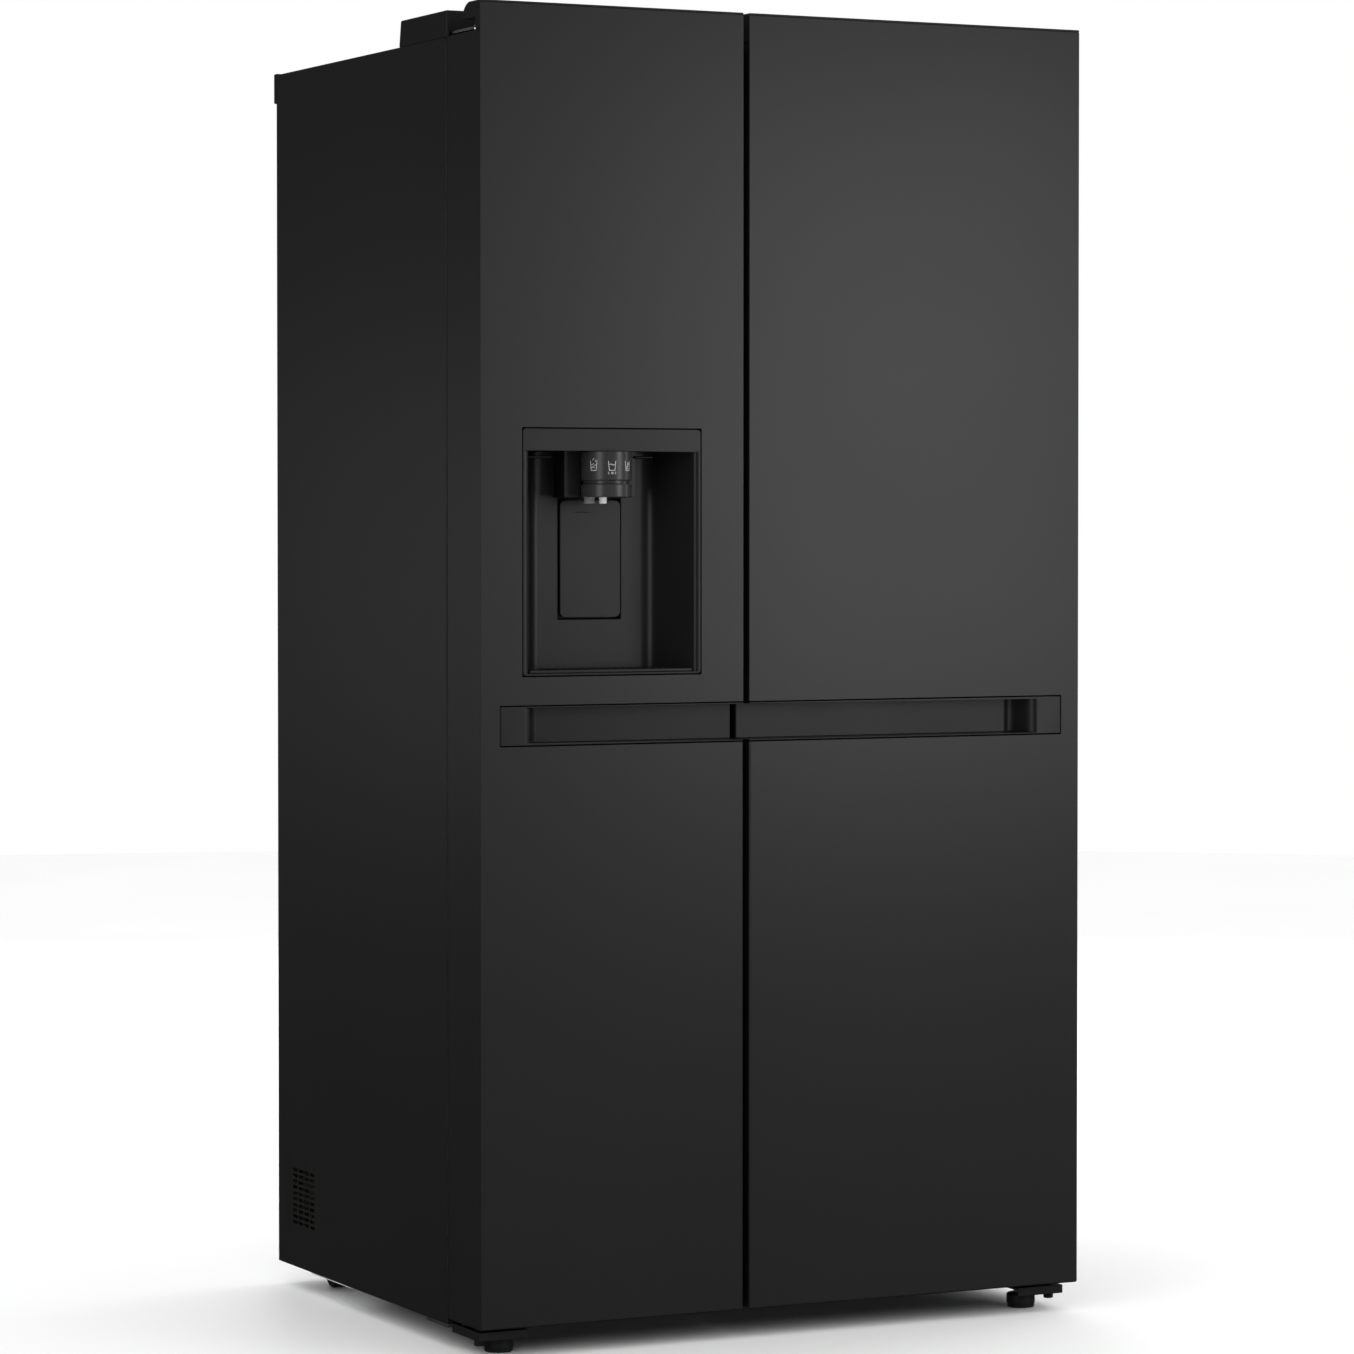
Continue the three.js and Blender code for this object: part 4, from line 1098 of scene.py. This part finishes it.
class FRIDGE_OT_shelves(bpy.types.Operator):
    """Make the glass shelves with their moulded rims"""

    bl_idname = "fridge.shelves"
    bl_label = "Shelves"

    def execute(self, context):
        wide, lap, step = 0.012, 0.010, 0.001
        deep = 0.014
        for node in (f"{room}_shelf_{index}" for room in ROOMS for index in SHELVES):
            low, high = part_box(node)
            front, back = low.y + lap, high.y - lap
            rim = blocks(*(corners + (0.0014, 3) for corners in (
                ((*low,), (high.x, low.y + deep, high.z)),
                ((low.x, high.y - deep, low.z), (*high,)),
                ((low.x, front, low.z), (low.x + wide, back, high.z - step)),
                ((high.x - wide, front, low.z), (high.x, back, high.z - step)),
            )))
            piece(f"{node}_rim", rim, "cabinet", "white fittings", [node])
            pane = blocks(((low.x + 0.008, low.y + 0.006, low.z + 0.001),
                           (high.x - 0.008, high.y - 0.006, low.z + 0.005)))
            piece(f"{node}_pane", pane, "cabinet", "shelf glass")
            strip = blocks(((low.x + 0.004, low.y - 0.0012, low.z + 0.0015),
                            (high.x - 0.004, low.y + 0.001, high.z - 0.0015), 0.0006))
            piece(f"{node}_strip", strip, "cabinet", "bright plate")
        return {"FINISHED"}


class FRIDGE_OT_drawers(bpy.types.Operator):
    """Make the freezer and crisper drawers"""

    bl_idname = "fridge.drawers"
    bl_label = "Drawers"

    def execute(self, context):
        sizes = context.scene.fridge_sizes
        for node in (f"{kind}_drawer_{index}" for kind in ("freezer", "crisper")
                     for index in (1, 2)):
            eased_node(node, f"{node}_tub", "clear plastic", sizes.tub_edge)
            low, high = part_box(node)
            trim = blocks(
                ((low.x + 0.004, low.y - 0.0016, high.z - 0.010),
                 (high.x - 0.004, low.y + 0.0005, high.z - 0.001), 0.0008, 3),
                ((low.x + 0.07, low.y - 0.0006, high.z - 0.036),
                 (high.x - 0.07, low.y + 0.0030, high.z - 0.033), 0.0008, 3),
            )
            piece(f"{node}_trim", trim, node, "white fittings")
        return {"FINISHED"}


class FRIDGE_OT_door_panels(bpy.types.Operator):
    """Make the outer panels of both doors and the foam behind them"""

    bl_idname = "fridge.door_panels"
    bl_label = "Door panels"

    def execute(self, context):
        sizes = context.scene.fridge_sizes
        in_x = 0.05
        for door in DOORS:
            eased_node(f"{door}_skin", f"{door}_panel", "coated steel", sizes.door_edge)
            coat(f"{door}_core", "door foam")
            eased_node(f"{door}_cap", f"{door}_top_cap", "outer trim", sizes.trim_edge)
            low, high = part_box(f"{door}_skin")
            in_rows(
                f"{door}_cap_screws", screw_head("+Z", 3.4, 1.6), door, "black parts",
                (low.x + in_x, FRONT + 0.085, high.z - 0.0357),
                2, (high.x - low.x - 2 * in_x, 0, 0),
            )
        return {"FINISHED"}


class FRIDGE_OT_door_liners(bpy.types.Operator):
    """Make the inner liners of both doors, their bins and the ice bin"""

    bl_idname = "fridge.door_liners"
    bl_label = "Door liners and bins"

    def execute(self, context):
        sizes = context.scene.fridge_sizes
        for door, bins in zip(DOORS, (2, 3)):
            eased_node(f"{door}_liner", f"{door}_inner", "white liner", sizes.liner_corner, 4)
            for index in range(1, bins + 1):
                node = f"{door}_bin_{index}"
                eased_node(node, f"{node}_tub", "clear plastic", sizes.tub_edge)
                low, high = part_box(node)
                trim = blocks(((low.x + 0.001, high.y - 0.0005, high.z - 0.014),
                               (high.x - 0.001, high.y + 0.0016, high.z - 0.001), 0.0009, 3))
                piece(f"{node}_trim", trim, door, "white fittings")
        eased_node("ice_bin", "ice_bucket", "white fittings", sizes.tub_edge)
        low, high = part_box("ice_bin")
        window = blocks(((low.x + 0.03, high.y - 0.0005, low.z + 0.09),
                         (high.x - 0.03, high.y + 0.0016, high.z - 0.04), 0.0012, 3))
        piece("ice_bin_window", window, "freezer_door", "clear plastic")
        return {"FINISHED"}


class FRIDGE_OT_gaskets(bpy.types.Operator):
    """Make the magnetic door seals with their bellows"""

    bl_idname = "fridge.gaskets"
    bl_label = "Door seals"

    def execute(self, context):
        profile = [(-1.0, -1.0), (1.0, -1.0), (1.0, -0.62), (0.62, -0.45), (0.62, -0.15),
                   (0.95, 0.05), (0.95, 0.8), (0.78, 1.0), (-0.78, 1.0), (-0.95, 0.8),
                   (-0.95, 0.05), (-0.62, -0.15), (-0.62, -0.45), (-1.0, -0.62)]
        wide, corner = 0.006, 0.006
        for door in DOORS:
            node = f"{door}_gasket"
            low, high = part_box(node)
            deep = (high.y - low.y) / 2
            curve = bpy.data.curves.new("seal profile", "CURVE")
            curve.dimensions = "3D"
            line = curve.splines.new("POLY")
            line.points.add(len(profile) - 1)
            for point, (across, back) in zip(line.points, profile):
                point.co = (back * deep, across * wide, 0, 1)
            line.use_cyclic_u = True
            holder = linked("seal profile", curve)
            mesh = grown(bpy.data.node_groups["profile round a frame"], {
                "Width": high.x - low.x - 2 * wide, "Height": high.z - low.z - 2 * wide,
                "Corner": corner, "Centre": tuple((low + high) / 2), "Profile": holder,
                "Material": bpy.data.materials["door seal"],
            })
            bpy.data.objects.remove(holder)
            bm = bmesh.new()
            bm.from_mesh(mesh)
            piece(f"{door}_seal", outward(bm), door, "door seal", [node])
        return {"FINISHED"}


class FRIDGE_OT_handles(bpy.types.Operator):
    """Make the recessed grips"""

    bl_idname = "fridge.handles"
    bl_label = "Grips"

    def execute(self, context):
        edge = context.scene.fridge_sizes.trim_edge
        for door in DOORS:
            eased_node(f"{door}_handle", f"{door}_grip", "dispenser plastic", edge)
        return {"FINISHED"}


class FRIDGE_OT_dispenser(bpy.types.Operator):
    """Make the dispenser's housing, its ledges, the fixed ring, the mouths and the drip tray"""

    bl_idname = "fridge.dispenser"
    bl_label = "Dispenser"

    def execute(self, context):
        sizes = context.scene.fridge_sizes
        housing = eased(cad_copy("dispenser_housing"), sizes.trim_edge)
        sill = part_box("drip_tray")[0].z - 0.3 * MM
        for vert in housing.vertices:  # rounding climbs where the sill meets the lips
            if vert.co.y < FRONT + 1.5 * MM and sill < vert.co.z < sill + MM:
                vert.co.z = sill
        piece("dispenser_frame", housing, "freezer_door", "dispenser plastic",
              ["dispenser_housing"])
        ledges = blocks(*((at(left, 34, 1190.4), at(right, 70, 1193.6), 0.0014, 3)
                          for left, right in ((-376, -338), (-215, -188))))
        piece("dispenser_ledges", ledges, "freezer_door", "dispenser plastic")

        low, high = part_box("dispenser_spout")
        top, bottom = high.z / MM, low.z / MM + 8.4
        dial_low, dial_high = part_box("dispenser_dial")
        base = Vector((*((dial_low + dial_high) / 2).xy, 0))
        ring = [(0, top - 0.2), (30, top - 0.2), (33, top), (33.7, top - 0.4), (34, top - 1.2),
                (34, bottom + 1.4), (33.6, bottom + 0.4), (32.6, bottom), (0, bottom)]
        piece("dispenser_ring", lathe(ring, base, "Z", 72), "freezer_door", "dial plastic",
              ["dispenser_spout"])
        mouth = [(0, bottom + 0.5), (7.4, bottom + 0.5)]
        for turn in range(4):
            mouth += [(7.4, bottom - 1.2 - turn * 1.7), (7.0, bottom - 2.0 - turn * 1.7)]
        mouth += [(7.2, bottom - 8.4), (5.8, bottom - 8.4), (5.4, bottom - 2), (0, bottom - 2)]
        place = base + Vector((-0.0185, 0.014, 0))
        piece("ice_mouth", lathe(mouth, place, "Z", 40), "freezer_door", "grey parts")
        nozzle = [(0, bottom + 0.5), (5.2, bottom + 0.5), (5.2, bottom - 7.4),
                  (4.7, bottom - 8.4), (3.3, bottom - 8.4), (2.9, bottom - 7.4),
                  (2.7, bottom - 1), (0, bottom - 1)]
        place = base + Vector((0.0017, 0.014, 0))
        piece("water_nozzle", lathe(nozzle, place, "Z", 32), "freezer_door", "white fittings")

        low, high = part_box("drip_tray")
        eased_node("drip_tray", "drip_pan", "dispenser plastic", 0.0007, 2)
        wide, deep = sizes.slat_width / 2, high.y - low.y - 0.026
        slat = blocks(((-wide, 0, -0.0008), (wide, deep, 0.0009), 0.0008))
        count, pitch = 16, 0.011
        start = ((low.x + high.x) / 2 - (count - 1) * pitch / 2, low.y + 0.011, high.z)
        in_rows("drip_slats", slat, "drip_tray", "black parts", start, count, (pitch, 0, 0))
        return {"FINISHED"}


def stroke(bm, points, centre, radius, width, rise=0.00012, sunk=0.00004):
    """A line of (round, up) millimetres laid on an upright cylinder as a thin raised band."""
    points = [Vector(point) * MM for point in points]
    for start, end in zip(points, points[1:]):
        along = (end - start).normalized() * width / 2
        side = Vector((-along.y, along.x))
        start, end = start - along, end + along
        rings = []
        for share in (0.0, 0.5, 1.0):
            ring = []
            for offset, lift in ((side, 0), (side, rise), (-side, rise), (-side, 0)):
                flat = start.lerp(end, share) + offset
                angle = flat.x / radius - math.pi / 2
                reach = radius + lift - sunk
                ring.append(bm.verts.new(centre + Vector((
                    reach * math.cos(angle), reach * math.sin(angle), flat.y))))
            rings.append(ring)
        skin(bm, rings)


class FRIDGE_OT_dial(bpy.types.Operator):
    """Make the selector dial with its three symbols"""

    bl_idname = "fridge.dial"
    bl_label = "Dial"

    def execute(self, context):
        low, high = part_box("dispenser_dial")
        centre = Vector((*((low + high) / 2).xy, 0))
        top, bottom = high.z / MM, low.z / MM
        radius = (high.x - low.x) / 2 / MM
        neck = bottom + 4
        dial = [(0, top), (radius - 1.2, top), (radius - 0.3, top - 0.4), (radius, top - 1.4),
                (radius, neck + 2.0), (radius - 0.25, neck + 0.9), (radius - 0.9, neck + 0.2),
                (radius - 1.8, neck), (radius - 3, neck), (radius - 3, bottom), (0, bottom)]
        piece("selector_dial", lathe(dial, centre, "Z", 96), "dispenser_dial", "dial plastic",
              ["dispenser_dial"])

        # A glass, with crushed ice, water or ice cubes in it.
        glass = [(-5.0, 6.2), (-3.8, -5.8), (3.8, -5.8), (5.0, 6.2)]
        symbols = {
            -55: [glass, [(-2.8, -2.8), (-0.7, -0.7), (1.5, -2.4)], [(-2.9, 1.4), (0.0, 3.1)],
                  [(0.9, 0.3), (3.1, 1.7)], [(-1.4, 7.9), (0.5, 9.6)], [(2.4, 5.8), (3.8, 7.9)]],
            -12: [glass, [(-3.3, 1.7), (-1.2, 2.6), (1.0, 1.2), (3.3, 2.1)],
                  [(-5.0, -10.3), (5.0, -10.3)], [(-5.0, -8.4), (5.0, -8.4)]],
            31: [glass, [(-2.6, -3.8), (0.5, -3.8), (0.5, -0.7), (-2.6, -0.7), (-2.6, -3.8)],
                 [(-0.3, 1.2), (2.8, 1.2), (2.8, 4.3), (-0.3, 4.3), (-0.3, 1.2)]],
        }
        marks = bmesh.new()
        base = centre + Vector((0, 0, (top + neck) / 2 * MM))
        for turn, shapes in symbols.items():
            shift = math.radians(turn) * radius
            for shape in shapes:
                stroke(marks, [(u + shift, v) for u, v in shape], base, radius * MM,
                       context.scene.fridge_sizes.mark_line)
        piece("dial_symbols", marks, "dispenser_dial", "printed symbols")
        return {"FINISHED"}


class FRIDGE_OT_paddle(bpy.types.Operator):
    """Make the dispenser's paddle"""

    bl_idname = "fridge.paddle"
    bl_label = "Paddle"

    def execute(self, context):
        low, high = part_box("dispenser_paddle")
        width, height = high.x - low.x, high.z - low.z
        thick, corner = 0.003, 0.0085
        middle = Vector(((low.x + high.x) / 2, low.y, (low.z + high.z) / 2))
        plate = bmesh.new()
        prism(plate, rounded_outline(width, height, corner, 10), middle, thick)
        paddle = bmesh.new()
        paddle.from_mesh(eased(outward(plate), 0.0011, 3))
        end, barrel = width / 2 / MM - 1, 3
        turned(paddle, [(0, -end), (barrel, -end), (barrel, end), (0, end)],
               Vector((middle.x, low.y + 0.004, high.z - 0.007)), "X", 20)
        piece("press_paddle", outward(paddle), "dispenser_paddle", "dispenser plastic",
              ["dispenser_paddle"])
        slot = blocks((at(-287, 69.7, 1117.9), at(-263, 70.6, 1119.1), 0.0003, 1))
        piece("paddle_slot", slot, "dispenser_paddle", "black parts")
        return {"FINISHED"}


STEPS = (
    FRIDGE_OT_finishes, FRIDGE_OT_studio, FRIDGE_OT_case, FRIDGE_OT_rear, FRIDGE_OT_base,
    FRIDGE_OT_hinges, FRIDGE_OT_machine_room, FRIDGE_OT_liners, FRIDGE_OT_shelves,
    FRIDGE_OT_drawers, FRIDGE_OT_door_panels, FRIDGE_OT_door_liners, FRIDGE_OT_gaskets,
    FRIDGE_OT_handles, FRIDGE_OT_dispenser, FRIDGE_OT_dial, FRIDGE_OT_paddle,
)


class FRIDGE_PT_pieces(bpy.types.Panel):
    """Lists the sizes, the colours and every step"""

    bl_label = "Refrigerator"
    bl_idname = "FRIDGE_PT_pieces"
    bl_space_type = "VIEW_3D"
    bl_region_type = "UI"
    bl_category = "Refrigerator"

    def draw(self, context):
        for group in (context.scene.fridge_sizes, context.scene.fridge_colours):
            box = self.layout.box()
            for name in group.__annotations__:
                box.prop(group, name)
        for step in STEPS:
            self.layout.operator(step.bl_idname)


CLASSES = (FridgeSizes, FridgeColours, *STEPS, FRIDGE_PT_pieces)


def register():
    for item in CLASSES:
        bpy.utils.register_class(item)
    bpy.types.Scene.fridge_sizes = bpy.props.PointerProperty(type=FridgeSizes)
    bpy.types.Scene.fridge_colours = bpy.props.PointerProperty(type=FridgeColours)


def unregister():
    del bpy.types.Scene.fridge_colours
    del bpy.types.Scene.fridge_sizes
    for item in reversed(CLASSES):
        bpy.utils.unregister_class(item)


def main():
    register()
    for step in STEPS:
        group, name = step.bl_idname.split(".")
        getattr(getattr(bpy.ops, group), name)()


if __name__ == "__main__":
    main()
